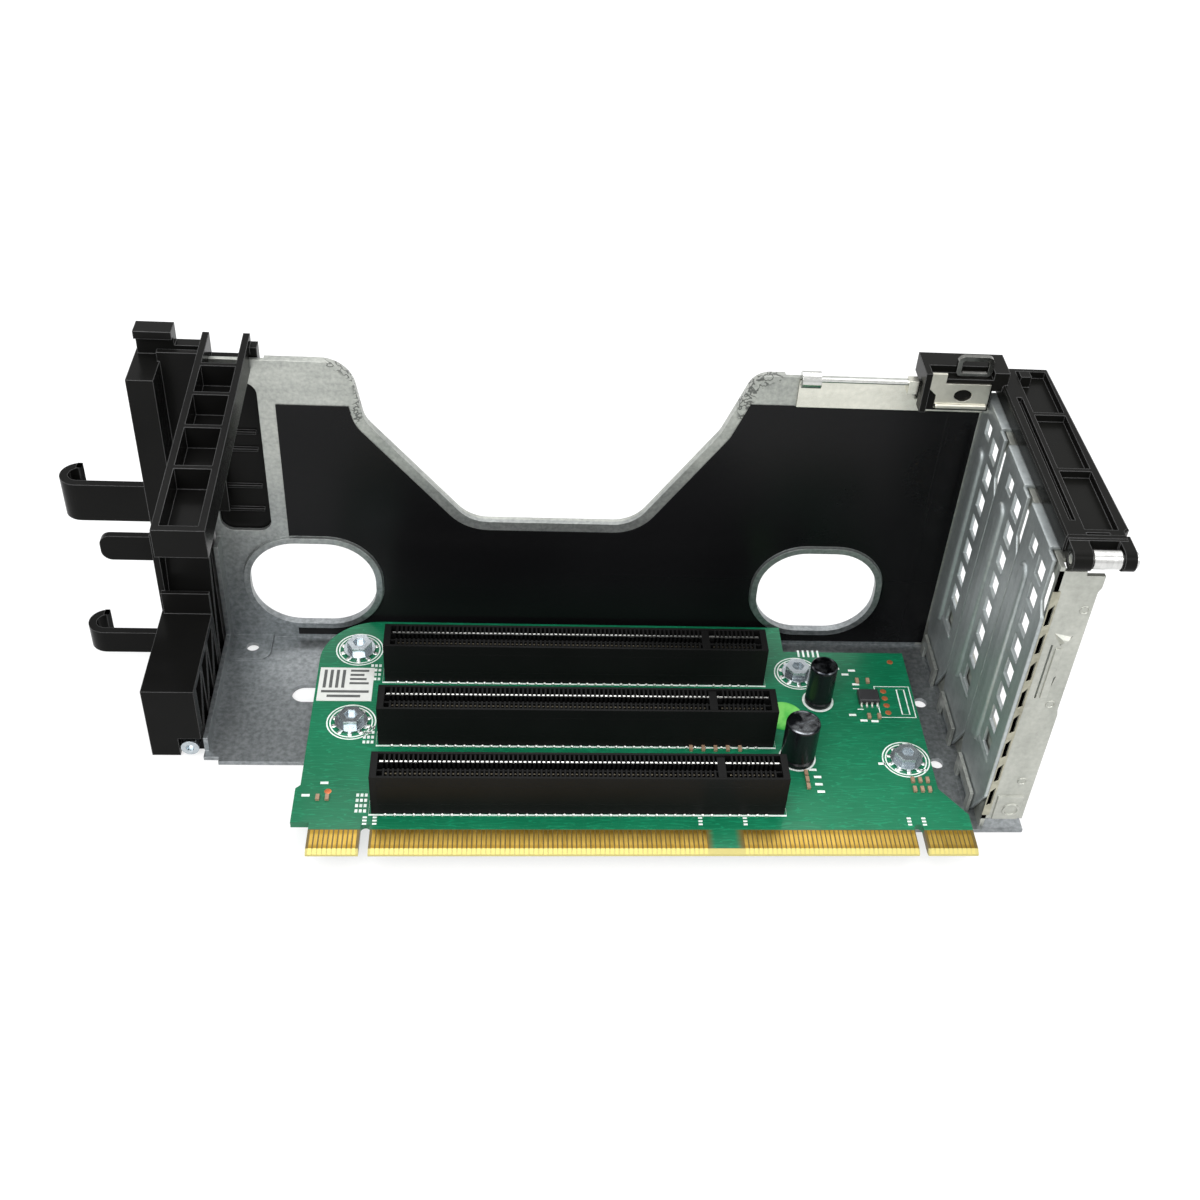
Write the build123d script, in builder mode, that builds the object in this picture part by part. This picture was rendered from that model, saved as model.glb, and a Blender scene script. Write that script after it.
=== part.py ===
"""Riser assembly of a rack server: a folded steel cage that holds a riser board with three
card slots, three blank slot covers, a hinged card latch and a moulded card guide.

Millimetres, +Z up. The base plate lies flat on Z = 0, the slots run along X, the back wall
stands along X at +Y, and the end panel with the slot covers stands at +X. The origin is on
the underside of the base plate, below the middle of its length.
"""
from build123d import *
import os

os.makedirs("parts", exist_ok=True)

# Sheet metal of the cage
sheet = 1.0
wall_height = 79.6
lip_height = 4.0
seat_gap = 0.3
bracket_reach = 44.5
base_reach_left = 39.0
base_reach_right = 55.6

# Riser board and its card slots
slot_count = 3
slot_pitch = 20.32
slot_length = 89.0
slot_width = 7.5
slot_height = 11.25
slot_wall = 1.5
groove_width = 1.9
groove_depth = 8.2
groove_chamfer = 0.8
key_from_end = 14.5
key_width = 1.6
board_thickness = 1.6
board_reach = 36.0
standoff_height = 5.0
slot_left = -52.8
front_slot_y = -30.0

# Edge connector
finger_pitch = 1.0
finger_width = 0.7
finger_length = 5.0
finger_thickness = 0.06
finger_margin = 0.9
finger_gap = 7.8
bevel_length = 1.2
bevel_drop = 0.5
edge_notch_width = 2.0
edge_notch_depth = 8.0
end_tab_fingers = 10
main_right_fingers = 38

# Slot covers
cover_width = 17.4
cover_sheet = 0.8
cover_offset = 9.6
cover_tab_length = 11.8
cover_foot_width = 11.6
cover_taper = 8.0
vent_size = 3.6
vent_pitch = 6.8
vent_count = 8
panel_emboss_depth = 0.7

# Latch and hinge
hinge_radius = 1.2
hinge_clearance = 0.07
knuckle_radius = 2.3
latch_gap = 0.3
latch_thickness = 3.9

# Card guide
guide_wall = 1.4
guide_width = 11.2
hook_thickness = 1.8

# Derived levels and places
slot_right = slot_left + slot_length
slot_ys = [front_slot_y + i * slot_pitch for i in range(slot_count)]
base_left = slot_left - base_reach_left
base_right = slot_right + base_reach_right
base_front_left = front_slot_y + 18.7
base_front_right = front_slot_y - 2.2
base_step_x = slot_left + 12.8
base_top = sheet
board_bottom = base_top + standoff_height
board_top = board_bottom + board_thickness
board_back = slot_ys[-1] + 17.06
wall_front = board_back + 1.5
wall_back = wall_front + sheet
cover_face = slot_right + bracket_reach
cover_ys = [y + cover_offset for y in slot_ys]
panel_in = cover_face + cover_sheet + seat_gap
panel_out = panel_in + sheet
panel_front = front_slot_y - 1.2
shelf_top = wall_height - 3.0
shelf_depth = cover_tab_length
tab_top = shelf_top + cover_sheet
latch_bottom = tab_top + latch_gap
latch_top = latch_bottom + latch_thickness
hinge_y = front_slot_y - 1.0
hinge_z = latch_bottom + 0.9
guide_right = base_left - seat_gap
guide_left = guide_right - guide_width


def block(x, y, z, mode=Mode.ADD):
    """Adds, or cuts, a block between two X, two Y and two Z values."""
    with Locations(((x[0] + x[1]) / 2, (y[0] + y[1]) / 2, (z[0] + z[1]) / 2)):
        Box(x[1] - x[0], y[1] - y[0], z[1] - z[0], mode=mode)


def rod_y(x, z, radius, y, mode=Mode.ADD):
    """Adds, or cuts, a round rod along Y between two Y values."""
    with BuildSketch(Plane.XZ.offset(-y[0])) as profile:
        with Locations((x, z)):
            Circle(radius)
    extrude(profile.sketch, amount=-(y[1] - y[0]), mode=mode)


def rod_x(y, z, radius, x, mode=Mode.ADD):
    """Adds, or cuts, a round rod along X between two X values."""
    with BuildSketch(Plane.YZ.offset(x[0])) as profile:
        with Locations((y, z)):
            Circle(radius)
    extrude(profile.sketch, amount=x[1] - x[0], mode=mode)


def finish(piece, label):
    """Names a finished piece and writes it to its own file."""
    piece.part.label = label
    export_step(piece.part, f"parts/{label}.step")


# Cage: base plate and back wall, folded from one sheet
scallop_top = wall_height
scallop_floor = board_top + 30.2
scallop_points = [
    (slot_left - 30.0, scallop_top),
    (slot_left - 6.3, scallop_top),
    (slot_left - 3.7, wall_height - 14.7),
    (slot_left + 19.2, scallop_floor),
    (slot_right - 32.0, scallop_floor),
    (slot_right - 13.8, wall_height - 15.4),
    (slot_right - 7.6, scallop_top),
    (slot_right + 11.0, scallop_top),
]
scallop_radii = [7.5, 7.0, 9.0, 9.0, 8.0, 5.0]
rim_depth = 1.0
rim_end_left = slot_left - 24.0
rim_end_right = slot_right - 1.0
oval_length = 29.2
oval_height = 24.6
oval_radius = 11.2
oval_z = board_top + 11.0
oval_xs = [slot_left - 17.7, slot_right + 14.2]
collar_width = 1.5
collar_height = 0.9
window_x = (base_left + 1.6, slot_left - 26.1)
window_z = (board_top + 26.2, wall_height - 5.6)
receiver_sheet = 0.8
receiver_height = 6.0
patch_x = (base_left + 1.0, slot_left - 28.5)
patch_y = (slot_ys[0] + 50.5, wall_front)
patch_rise = 0.5
board_holes = [
    (slot_left - 6.6, slot_ys[2] + 7.0),
    (slot_left - 6.5, slot_ys[1] + 3.2),
    (slot_right + 8.7, slot_ys[2] + 0.5),
    (slot_right + 30.3, slot_ys[0] + 12.9),
]


def scallop_sketch(grow):
    """Draws the area that the scallop takes out of the wall, grown by a width."""
    with BuildSketch(Plane.XZ.offset(-wall_front)) as area:
        with BuildLine():
            FilletPolyline(*scallop_points, radius=scallop_radii)
            Polyline(
                scallop_points[-1],
                (scallop_points[-1][0], scallop_top + 20),
                (scallop_points[0][0], scallop_top + 20),
                scallop_points[0],
            )
        make_face()
        if grow > 0:
            offset(amount=grow, kind=Kind.INTERSECTION)
    return area


with BuildPart() as cage:
    with BuildSketch(Plane.XY):
        with BuildLine():
            Polyline(
                (base_left, wall_back),
                (base_left, base_front_left),
                (base_left + 3.4, base_front_left),
                (base_left + 3.4, base_front_left - 1.4),
                (base_step_x, base_front_left - 1.4),
                (base_step_x + 12.0, base_front_right),
                (base_right, base_front_right),
                (base_right, wall_back),
                close=True,
            )
        make_face()
    extrude(amount=sheet)
    with BuildSketch(Plane.XZ.offset(-wall_front)):
        with Locations(((base_left + panel_in) / 2, wall_height / 2)):
            Rectangle(panel_in - base_left, wall_height)
    extrude(amount=-sheet)
    scallop_area = scallop_sketch(0)
    rim_area = scallop_sketch(sheet)
    extrude(rim_area.sketch, amount=-(rim_depth + sheet))
    extrude(scallop_area.sketch, amount=-(rim_depth + sheet), mode=Mode.SUBTRACT)
    block((base_left, base_right), (wall_front - 1, wall_back + rim_depth + 1),
          (wall_height, wall_height + 30), mode=Mode.SUBTRACT)
    for x in ((base_left, rim_end_left), (rim_end_right, base_right)):
        block(x, (wall_back, wall_back + rim_depth + 1), (wall_height - 3, wall_height + 1),
              mode=Mode.SUBTRACT)
    with BuildSketch(Plane.XZ.offset(-wall_front)):
        for x in oval_xs:
            with Locations((x, oval_z)):
                RectangleRounded(oval_length + 2 * collar_width, oval_height + 2 * collar_width,
                                 oval_radius + collar_width)
    extrude(amount=collar_height)
    with BuildSketch(Plane.XZ.offset(-(wall_front - collar_height))):
        for x in oval_xs:
            with Locations((x, oval_z)):
                RectangleRounded(oval_length, oval_height, oval_radius)
    extrude(amount=-(sheet + collar_height), mode=Mode.SUBTRACT)
    with BuildSketch(Plane.XZ.offset(-wall_front)):
        with Locations((sum(window_x) / 2, sum(window_z) / 2)):
            RectangleRounded(window_x[1] - window_x[0], window_z[1] - window_z[0], 3.0)
    extrude(amount=-sheet, mode=Mode.SUBTRACT)
    block((base_left, base_left + sheet), (base_front_left + 2.0, wall_front),
          (base_top, base_top + lip_height))
    block((base_left, base_left + sheet), (wall_front - lip_height, wall_front),
          (base_top, window_z[0] - 2.0))
    block(patch_x, patch_y, (base_top, base_top + patch_rise))
    block((patch_x[0] + sheet, patch_x[1] - sheet), (patch_y[0] + sheet, patch_y[1] - sheet),
          (0, patch_rise), mode=Mode.SUBTRACT)
    fillet(cage.edges().filter_by(Axis.Z).sort_by_distance((patch_x[1], patch_y[0], base_top))[0], 3.0)
    with Locations((slot_left - 33.0, slot_ys[2] + 14.3, 0)):
        Cylinder(1.5, 6 * sheet, mode=Mode.SUBTRACT)
    for y in (slot_ys[0] + 18.1, slot_ys[0] + 38.3):
        with Locations((slot_right + 39.8, y, 0)):
            Cylinder(1.6, 3 * sheet, mode=Mode.SUBTRACT)
    with BuildSketch(Plane.XY):
        with Locations((slot_left - 16.5, slot_ys[1] + 19.1)):
            SlotOverall(11.0, 5.7)
    extrude(amount=sheet, mode=Mode.SUBTRACT)
    for y in cover_ys:
        foot = cover_foot_width / 2 + 0.6
        x = cover_face - seat_gap - receiver_sheet
        block((x, x + receiver_sheet), (y - foot, y + foot), (base_top, base_top + receiver_height))
        block((x, x + receiver_sheet), (y - foot + 2.0, y + foot - 2.0),
              (base_top + 0.1, base_top + receiver_height - 2.2), mode=Mode.SUBTRACT)
finish(cage, "cage")


# Steel strip that doubles the top of the back wall, with an ear that takes the wire's end
strip_x = (slot_right + 2.0, cover_face - seat_gap)
strip_z = (wall_height - 7.2, wall_height - 0.4)
strip_sheet = 0.8
wire_radius = 0.6
wire_fit = 0.03
wire_y = wall_front - 1.2
wire_z = wall_height + 0.3
ear_width = 2.2
strip_ear_x = slot_right + 25.9
with BuildPart() as wall_strip:
    block(strip_x, (wall_front - strip_sheet, wall_front), strip_z)
    block((strip_ear_x, strip_ear_x + ear_width), (wall_front - strip_sheet - 1.5, wall_front - 0.1),
          (wall_height - 2.0, wall_height + 1.3))
    block((strip_ear_x - 1, strip_ear_x + ear_width + 1), (wall_front - 0.1, wall_front + 1),
          (wall_height - 1, wall_height + 2), mode=Mode.SUBTRACT)
    rod_x(wire_y, wire_z, wire_radius + wire_fit, (strip_ear_x - 1, strip_ear_x + ear_width + 1),
          mode=Mode.SUBTRACT)
finish(wall_strip, "wall_strip")

# Spring wire along the top of the back wall, and the crimped barrel on its left end
barrel_x = (slot_right + 2.2, slot_right + 6.4)
barrel_radius = 1.9
with BuildPart() as wall_wire:
    rod_x(wire_y, wire_z, wire_radius, (barrel_x[0] + 0.2, strip_ear_x + ear_width - 0.2))
finish(wall_wire, "wall_wire")

with BuildPart() as wire_clip:
    rod_x(wire_y, wire_z, barrel_radius, barrel_x)
    rod_x(wire_y, wire_z, wire_radius + wire_fit, (barrel_x[0] - 1, barrel_x[1] + 1), mode=Mode.SUBTRACT)
    block((barrel_x[0] - 1, barrel_x[1] + 1), (wall_front - strip_sheet - 0.02, wall_back + 2),
          (wall_height - 4, wall_height + 0.02), mode=Mode.SUBTRACT)
finish(wire_clip, "wire_clip")


# Black insulating film on the front face of the back wall
film_thickness = 0.25
film_left = slot_left - 22.4
film_right = panel_in - 1.6
film_middle = (slot_left + slot_right) / 2
film_top_left = wall_height - 11.0
film_top_right = wall_height - 7.4
film_bottom = base_top + 1.2
film_margin = 2.4
film_slack = 0.3
with BuildPart() as insulator_film:
    with BuildSketch(Plane.XZ.offset(-wall_front)):
        with BuildLine():
            Polyline(
                (film_left, film_top_left),
                (film_middle, film_top_left),
                (film_middle, film_top_right),
                (film_right, film_top_right),
                (film_right, film_bottom),
                (film_left, film_bottom),
                close=True,
            )
        make_face()
        for x in oval_xs:
            with Locations((x, oval_z)):
                RectangleRounded(oval_length + 2 * (collar_width + film_slack),
                                 oval_height + 2 * (collar_width + film_slack),
                                 oval_radius + collar_width + film_slack, mode=Mode.SUBTRACT)
    extrude(amount=film_thickness)
    film_edge = scallop_sketch(film_margin)
    extrude(film_edge.sketch, amount=film_thickness, mode=Mode.SUBTRACT)
    block((strip_x[0] - film_slack, film_right + 1), (wall_front - 2, wall_front + 1),
          (strip_z[0] - film_slack, strip_z[0] + 9), mode=Mode.SUBTRACT)
    block((patch_x[0], patch_x[1] + film_slack), (wall_front - 2, wall_front + 1),
          (0, base_top + patch_rise + film_slack), mode=Mode.SUBTRACT)
finish(insulator_film, "insulator_film")


# Riser board with its edge connector tabs
board_left = slot_left - 15.6
board_right = slot_right + board_reach
board_corner = 13.5
tab_top_y = slot_ys[0] - 8.3
tab_end_y = tab_top_y - finger_length - bevel_length
main_tab_x = (slot_left + 0.1, slot_right + 28.4)
left_tab_x = (main_tab_x[0] - edge_notch_width - 10.8, main_tab_x[0] - edge_notch_width)
right_tab_x = (main_tab_x[1] + edge_notch_width, main_tab_x[1] + edge_notch_width + 11.0)
board_step = (slot_right + 6.3, slot_ys[2] + 8.2)
with BuildPart() as riser_board:
    with BuildSketch(Plane.XY.offset(board_bottom)) as board_outline:
        with BuildLine():
            Polyline(
                (board_left, board_back),
                (board_step[0], board_back),
                board_step,
                (board_right, board_step[1]),
                (board_right, slot_ys[0] + 4.0),
                (right_tab_x[1], slot_ys[0] - 3.6),
                (right_tab_x[1], tab_end_y),
                (left_tab_x[0], tab_end_y),
                (left_tab_x[0], slot_ys[0] - 6.2),
                (board_left - 1.0, slot_ys[0] - 6.2),
                (board_left - 1.0, slot_ys[0] + 3.4),
                (board_left, slot_ys[0] + 4.4),
                close=True,
            )
        make_face()
        fillet(board_outline.vertices().group_by(Axis.Y)[-1].sort_by(Axis.X)[0], board_corner)
        for x in (main_tab_x[0] - edge_notch_width / 2, main_tab_x[1] + edge_notch_width / 2):
            with Locations((x, tab_end_y + edge_notch_depth / 2 - 1.0)):
                SlotOverall(edge_notch_depth + 2.0, edge_notch_width, rotation=90, mode=Mode.SUBTRACT)
    extrude(amount=board_thickness)
    for x, y in board_holes:
        with Locations((x, y, board_top)):
            Cylinder(1.7, 3 * board_thickness, mode=Mode.SUBTRACT)
    with BuildSketch(Plane.YZ.offset(left_tab_x[0] - 1)):
        for z, sign in ((board_top, -1), (board_bottom, 1)):
            with BuildLine():
                Polyline(
                    (tab_end_y, z),
                    (tab_end_y + bevel_length, z),
                    (tab_end_y, z + sign * bevel_drop),
                    close=True,
                )
            make_face()
    extrude(amount=right_tab_x[1] - left_tab_x[0] + 2, mode=Mode.SUBTRACT)
finish(riser_board, "riser_board")


def finger_row(first_x, count):
    """Lists the middles of a row of fingers from the first one's."""
    return [first_x + i * finger_pitch for i in range(count)]


right_group_x = main_tab_x[1] - finger_margin + 0.3 - (main_right_fingers - 1) * finger_pitch
left_group_span = right_group_x - finger_gap - main_tab_x[0] - finger_margin
finger_xs = (
    finger_row(left_tab_x[0] + finger_margin, end_tab_fingers)
    + finger_row(main_tab_x[0] + finger_margin, round(left_group_span / finger_pitch))
    + finger_row(right_group_x, main_right_fingers)
    + finger_row(right_tab_x[0] + finger_margin, end_tab_fingers)
)
with BuildPart() as one_finger:
    with BuildSketch(Plane.YZ.offset(-finger_width / 2)):
        with BuildLine():
            Polyline(
                (tab_top_y, board_top),
                (tab_top_y, board_top + finger_thickness),
                (tab_end_y + bevel_length, board_top + finger_thickness),
                (tab_end_y, board_top - bevel_drop),
                (tab_end_y + bevel_length, board_top),
                close=True,
            )
        make_face()
    extrude(amount=finger_width)
with BuildPart() as gold_fingers:
    with Locations(*[(x, 0, 0) for x in finger_xs]):
        add(one_finger.part)
finish(gold_fingers, "gold_fingers")


# Card slots: moulded housings with a long groove, a key and a stepped top
def card_slot(y, label):
    """Makes one slot housing on the board, centred on a Y value."""
    key_x = slot_right - key_from_end
    groove_floor = board_top + slot_height - groove_depth
    with BuildPart() as housing:
        block((slot_left, slot_right), (y - slot_width / 2, y + slot_width / 2),
              (board_top, board_top + slot_height))
        long_edges = housing.edges().filter_by(Axis.X).group_by(Axis.Z)[-1]
        chamfer(long_edges, length=0.35)
        with BuildSketch(Plane.YZ.offset(slot_left + slot_wall)):
            with BuildLine():
                Polyline(
                    (y - groove_width / 2, groove_floor),
                    (y - groove_width / 2, board_top + slot_height - groove_chamfer),
                    (y - groove_width / 2 - groove_chamfer, board_top + slot_height + 0.01),
                    (y + groove_width / 2 + groove_chamfer, board_top + slot_height + 0.01),
                    (y + groove_width / 2, board_top + slot_height - groove_chamfer),
                    (y + groove_width / 2, groove_floor),
                    close=True,
                )
            make_face()
        extrude(amount=slot_length - 2 * slot_wall, mode=Mode.SUBTRACT)
        block((key_x - key_width / 2, key_x + key_width / 2), (y - groove_width / 2, y + groove_width / 2),
              (groove_floor, board_top + slot_height - 1.0))
    finish(housing, label)


for number, slot_y in enumerate(reversed(slot_ys)):
    card_slot(slot_y, f"card_slot_{number + 1}")


# Hex head screws with washers that hold the board, and the standoffs under it
screw_head_radius = 2.9
screw_head_height = 1.8
washer_radius = 3.7
washer_height = 0.7
standoff_radius = 3.2
with BuildPart() as board_screws:
    for x, y in board_holes:
        with BuildSketch(Plane.XY.offset(board_top)):
            with Locations((x, y)):
                Circle(washer_radius)
        extrude(amount=washer_height)
        with BuildSketch(Plane.XY.offset(board_top + washer_height)):
            with Locations((x, y)):
                RegularPolygon(screw_head_radius, 6)
        extrude(amount=screw_head_height)
        with BuildSketch(Plane.XY.offset(board_top + washer_height + screw_head_height)):
            with Locations((x, y)):
                RegularPolygon(1.5, 6)
        extrude(amount=-1.2, mode=Mode.SUBTRACT)
        with BuildSketch(Plane.XY.offset(board_top)):
            with Locations((x, y)):
                Circle(1.45)
        extrude(amount=-(board_thickness + 3.0))
finish(board_screws, "board_screws")

with BuildPart() as standoffs:
    for x, y in board_holes:
        with BuildSketch(Plane.XY.offset(base_top)):
            with Locations((x, y)):
                RegularPolygon(standoff_radius, 6)
                Circle(1.5, mode=Mode.SUBTRACT)
        extrude(amount=standoff_height)
finish(standoffs, "standoffs")


# Electrolytic capacitors
def capacitor(x, y, radius, height, label):
    """Makes one can capacitor with its rolled neck and scored top."""
    with BuildPart() as can:
        with BuildSketch(Plane.XZ.offset(-y)):
            with BuildLine():
                Polyline(
                    (x, board_top),
                    (x + radius, board_top),
                    (x + radius, board_top + 1.5),
                    (x + radius - 0.35, board_top + 1.9),
                    (x + radius, board_top + 2.3),
                    (x + radius, board_top + height - 0.4),
                    (x + radius - 0.4, board_top + height),
                    (x, board_top + height),
                    close=True,
                )
            make_face()
        revolve(axis=Axis((x, y, 0), (0, 0, 1)))
        for turn in (0, 90):
            with BuildSketch(Plane.XY.offset(board_top + height)):
                with Locations((x, y)):
                    Rectangle(radius * 1.3, 0.2, rotation=turn)
            extrude(amount=-0.15, mode=Mode.SUBTRACT)
    finish(can, label)


front_can = (slot_right + 5.1, slot_ys[0] + 13.3)
rear_can = (slot_right + 12.5, slot_ys[0] + 31.8)
rear_can_radius = 2.5
capacitor(*front_can, 3.0, 11.3, "capacitor_front")
capacitor(*rear_can, rear_can_radius, 11.2, "capacitor_rear")


# Memory chip with its leads, and the small surface parts beside it
chip_x = slot_right + 24.7
chip_y = slot_ys[0] + 32.6
with BuildPart() as memory_chip:
    block((chip_x - 2.45, chip_x + 2.45), (chip_y - 1.95, chip_y + 1.95),
          (board_top + 0.15, board_top + 1.65))
    chamfer(memory_chip.faces().sort_by(Axis.Z)[-1].edges(), length=0.25)
    for i in range(4):
        lead_x = chip_x + (i - 1.5) * 1.27
        block((lead_x - 0.21, lead_x + 0.21), (chip_y - 3.0, chip_y + 3.0), (board_top, board_top + 0.25))
        for side in (-1, 1):
            block((lead_x - 0.21, lead_x + 0.21), tuple(sorted((chip_y + side * 1.9, chip_y + side * 2.3))),
                  (board_top, board_top + 0.9))
finish(memory_chip, "memory_chip")

small_parts_rows = [
    (slot_right + 6.5, slot_ys[0] + 4.4, 3, 0, 2.0),
    (slot_right + 30.6, slot_ys[0] + 6.4, 3, 1.7, 0),
    (slot_right + 30.6, slot_ys[0] + 3.6, 3, 1.7, 0),
    (slot_right + 23.0, slot_ys[0] + 38.6, 2, 2.6, 0),
    (slot_right + 24.0, slot_ys[0] + 26.6, 2, 2.4, 0),
    (slot_right - 19.0, slot_ys[0] + 15.8, 5, 2.8, 0),
    (slot_left - 11.6, slot_ys[0] + 0.6, 2, 2.0, 0),
]
with BuildPart() as surface_parts:
    for x, y, count, step_x, step_y in small_parts_rows:
        for i in range(count):
            px, py = x + i * step_x, y + i * step_y
            block((px - 0.4, px + 0.4), (py - 0.75, py + 0.75), (board_top, board_top + 0.6))
finish(surface_parts, "surface_parts")


# Paper label and round sticker on the board
label_size = (12.4, 11.0)
label_place = (board_left + 6.8, slot_ys[1] + 15.4)
with BuildPart() as board_label:
    with BuildSketch(Plane.XY.offset(board_top)):
        with Locations(label_place):
            Rectangle(*label_size)
    extrude(amount=0.15)
finish(board_label, "board_label")

sticker_place = (slot_right + 3.6, slot_ys[0] + 26.6)
with BuildPart() as round_sticker:
    with BuildSketch(Plane.XY.offset(board_top)):
        with Locations(sticker_place):
            Circle(4.6)
        with Locations(board_holes[2]):
            Circle(washer_radius + 1.9, mode=Mode.SUBTRACT)
        with Locations(rear_can):
            Circle(rear_can_radius + 1.1, mode=Mode.SUBTRACT)
        with Locations((slot_right + 0.2 - 5, slot_ys[1] + 4.0)):
            Rectangle(10, 30, mode=Mode.SUBTRACT)
    extrude(amount=0.12)
finish(round_sticker, "round_sticker")


# End panel: steel sheet behind the slot covers, with a shelf and a front flange
flange_step = 8.8
flange_ear = 10.1
flange_top = shelf_top - 2.0
opening_width = cover_width - 2.4
opening_z = (base_top + 9.0, shelf_top - 5.0)
foot_depth = 4.0
pin_ear_radius = 2.0
channel_z = (board_top + 30.6, board_top + 44.8)
press_depth = 0.5
with BuildPart() as end_panel:
    block((panel_in, panel_out), (panel_front, wall_front), (base_top, shelf_top))
    block((panel_in, panel_out + shelf_depth), (hinge_y + knuckle_radius + seat_gap, wall_front),
          (shelf_top - sheet, shelf_top))
    with BuildSketch(Plane.XZ.offset(-panel_front)):
        with BuildLine():
            Polyline(
                (panel_in, base_top),
                (panel_out + flange_ear, base_top),
                (panel_out + flange_ear, board_top + 2.6),
                (panel_out + flange_step, board_top + 3.8),
                (panel_out + flange_step, flange_top - 6.4),
                (panel_out + flange_ear, flange_top - 5.6),
                (panel_out + flange_ear, flange_top - 2.0),
                (panel_out + 6.2, flange_top - 2.0),
                (panel_out + 6.0, flange_top),
                (panel_in, flange_top),
                close=True,
            )
        make_face()
    extrude(amount=-sheet)
    for y in cover_ys:
        with BuildSketch(Plane.YZ.offset(panel_in)):
            with Locations((y, sum(opening_z) / 2)):
                Rectangle(opening_width, opening_z[1] - opening_z[0])
        extrude(amount=sheet, mode=Mode.SUBTRACT)
    block((panel_in, panel_out + foot_depth), (panel_front + 8.0, panel_front + 16.0),
          (base_top, base_top + sheet))
    rod_x(hinge_y, hinge_z, pin_ear_radius, (panel_in, panel_out))
    block((panel_in, panel_out), (panel_front, hinge_y + pin_ear_radius), (shelf_top - 4.0, hinge_z))
    rod_x(hinge_y, hinge_z, hinge_radius + 0.005, (panel_in - 1.0, panel_out + 1.0), mode=Mode.SUBTRACT)
    block((panel_out + 3.4, panel_out + 8.8), (panel_front - press_depth, panel_front),
          (base_top, board_top + 1.9))
    rod_y(panel_out + 6.2, board_top - 3.1, 2.0, (panel_front - press_depth - 0.3, panel_front - press_depth))
    block((panel_out + 3.6, panel_out + 5.2), (panel_front, panel_front + press_depth), channel_z,
          mode=Mode.SUBTRACT)
    block((panel_out + 2.9, panel_out + 3.6), (panel_front - 1, panel_front + sheet + 0.5),
          (channel_z[0] + 0.8, channel_z[1] + 2.0), mode=Mode.SUBTRACT)
    with BuildSketch(Plane.XZ.offset(-panel_front)):
        with BuildLine():
            Polyline(
                (panel_out + 2.9, channel_z[1] + 5.1),
                (panel_out + 7.5, channel_z[1] + 3.5),
                (panel_out + 5.9, channel_z[1] + 1.2),
                close=True,
            )
        make_face()
    extrude(amount=-press_depth, mode=Mode.SUBTRACT)
finish(end_panel, "end_panel")


# Contact gaskets between and beside the slot covers
gasket_sheet = 0.2
gasket_fingers = 8
gasket_pitch = 7.6
gasket_ys = [cover_ys[0] - cover_width / 2 - 1.3] + [y + slot_pitch / 2 for y in cover_ys[:-1]]
with BuildPart() as contact_gaskets:
    for y in gasket_ys:
        width = 1.6 if y < cover_ys[0] else slot_pitch - cover_width - 1.0
        block((panel_in - gasket_sheet, panel_in), (y - width / 2, y + width / 2),
              (base_top + 6.0, shelf_top - 6.0))
        for i in range(gasket_fingers):
            z = base_top + 9.0 + i * gasket_pitch
            with BuildSketch(Plane.XZ.offset(-(y - width / 2))):
                with BuildLine():
                    Polyline(
                        (panel_in - gasket_sheet, z - 2.4),
                        (panel_in - gasket_sheet - 0.8, z - 0.8),
                        (panel_in - gasket_sheet - 0.8, z + 0.8),
                        (panel_in - gasket_sheet, z + 2.4),
                        close=True,
                    )
                make_face()
            extrude(amount=-width)
finish(contact_gaskets, "contact_gaskets")


# Slot covers: folded steel blanks with square vents, a pressed panel and a tapered foot
emboss_y = (-7.4, 1.3)
emboss_z = (board_top + 9.0, shelf_top - 9.6)
vent_row_y = -5.1
first_vent_z = shelf_top - 6.0


def slot_cover(y, label):
    """Makes one blank cover, centred on a Y value, with its foot in the base's receiver."""
    half = cover_width / 2
    foot = cover_foot_width / 2
    low = base_top + seat_gap
    with BuildPart() as cover:
        with BuildSketch(Plane.YZ.offset(cover_face)):
            with BuildLine():
                Polyline(
                    (y - foot, low),
                    (y + foot, low),
                    (y + half, low + cover_taper),
                    (y + half, tab_top),
                    (y - half + 3.2, tab_top),
                    (y - half + 3.2, shelf_top - 10.0),
                    (y - half, shelf_top - 13.0),
                    (y - half, low + cover_taper),
                    close=True,
                )
            make_face()
        extrude(amount=cover_sheet)
        block((cover_face, cover_face + cover_tab_length), (y - half + 3.2, y + half), (shelf_top, tab_top))
        for x, mode in ((cover_face + cover_sheet, Mode.ADD), (cover_face, Mode.SUBTRACT)):
            with BuildSketch(Plane.YZ.offset(x)) as pressed:
                with Locations((y + sum(emboss_y) / 2, sum(emboss_z) / 2)):
                    Rectangle(emboss_y[1] - emboss_y[0], emboss_z[1] - emboss_z[0])
            extrude(pressed.sketch, amount=panel_emboss_depth, taper=35, mode=mode)
        with BuildSketch(Plane.YZ.offset(cover_face)) as vents:
            for i in range(vent_count):
                with Locations((y + vent_row_y, first_vent_z - i * vent_pitch)):
                    Rectangle(vent_size, vent_size)
        extrude(vents.sketch, amount=cover_sheet + panel_emboss_depth, mode=Mode.SUBTRACT)
    finish(cover, label)


for number, cover_y in enumerate(reversed(cover_ys)):
    slot_cover(cover_y, f"slot_cover_{number + 1}")


# Hinge pin of the latch and the steel sleeve on it
knuckle_x = (panel_out + latch_gap, panel_out + 4.3)
ear_x = (panel_out + 10.5, panel_out + 13.0)
sleeve_radius = 1.95
sleeve_fit = 0.02
with BuildPart() as hinge_pin:
    rod_x(hinge_y, hinge_z, hinge_radius, (panel_in - 1.4, ear_x[1] + 0.3))
    rod_x(hinge_y, hinge_z, hinge_radius + 0.5, (ear_x[1] + 0.3, ear_x[1] + 0.8))
finish(hinge_pin, "hinge_pin")

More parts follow.
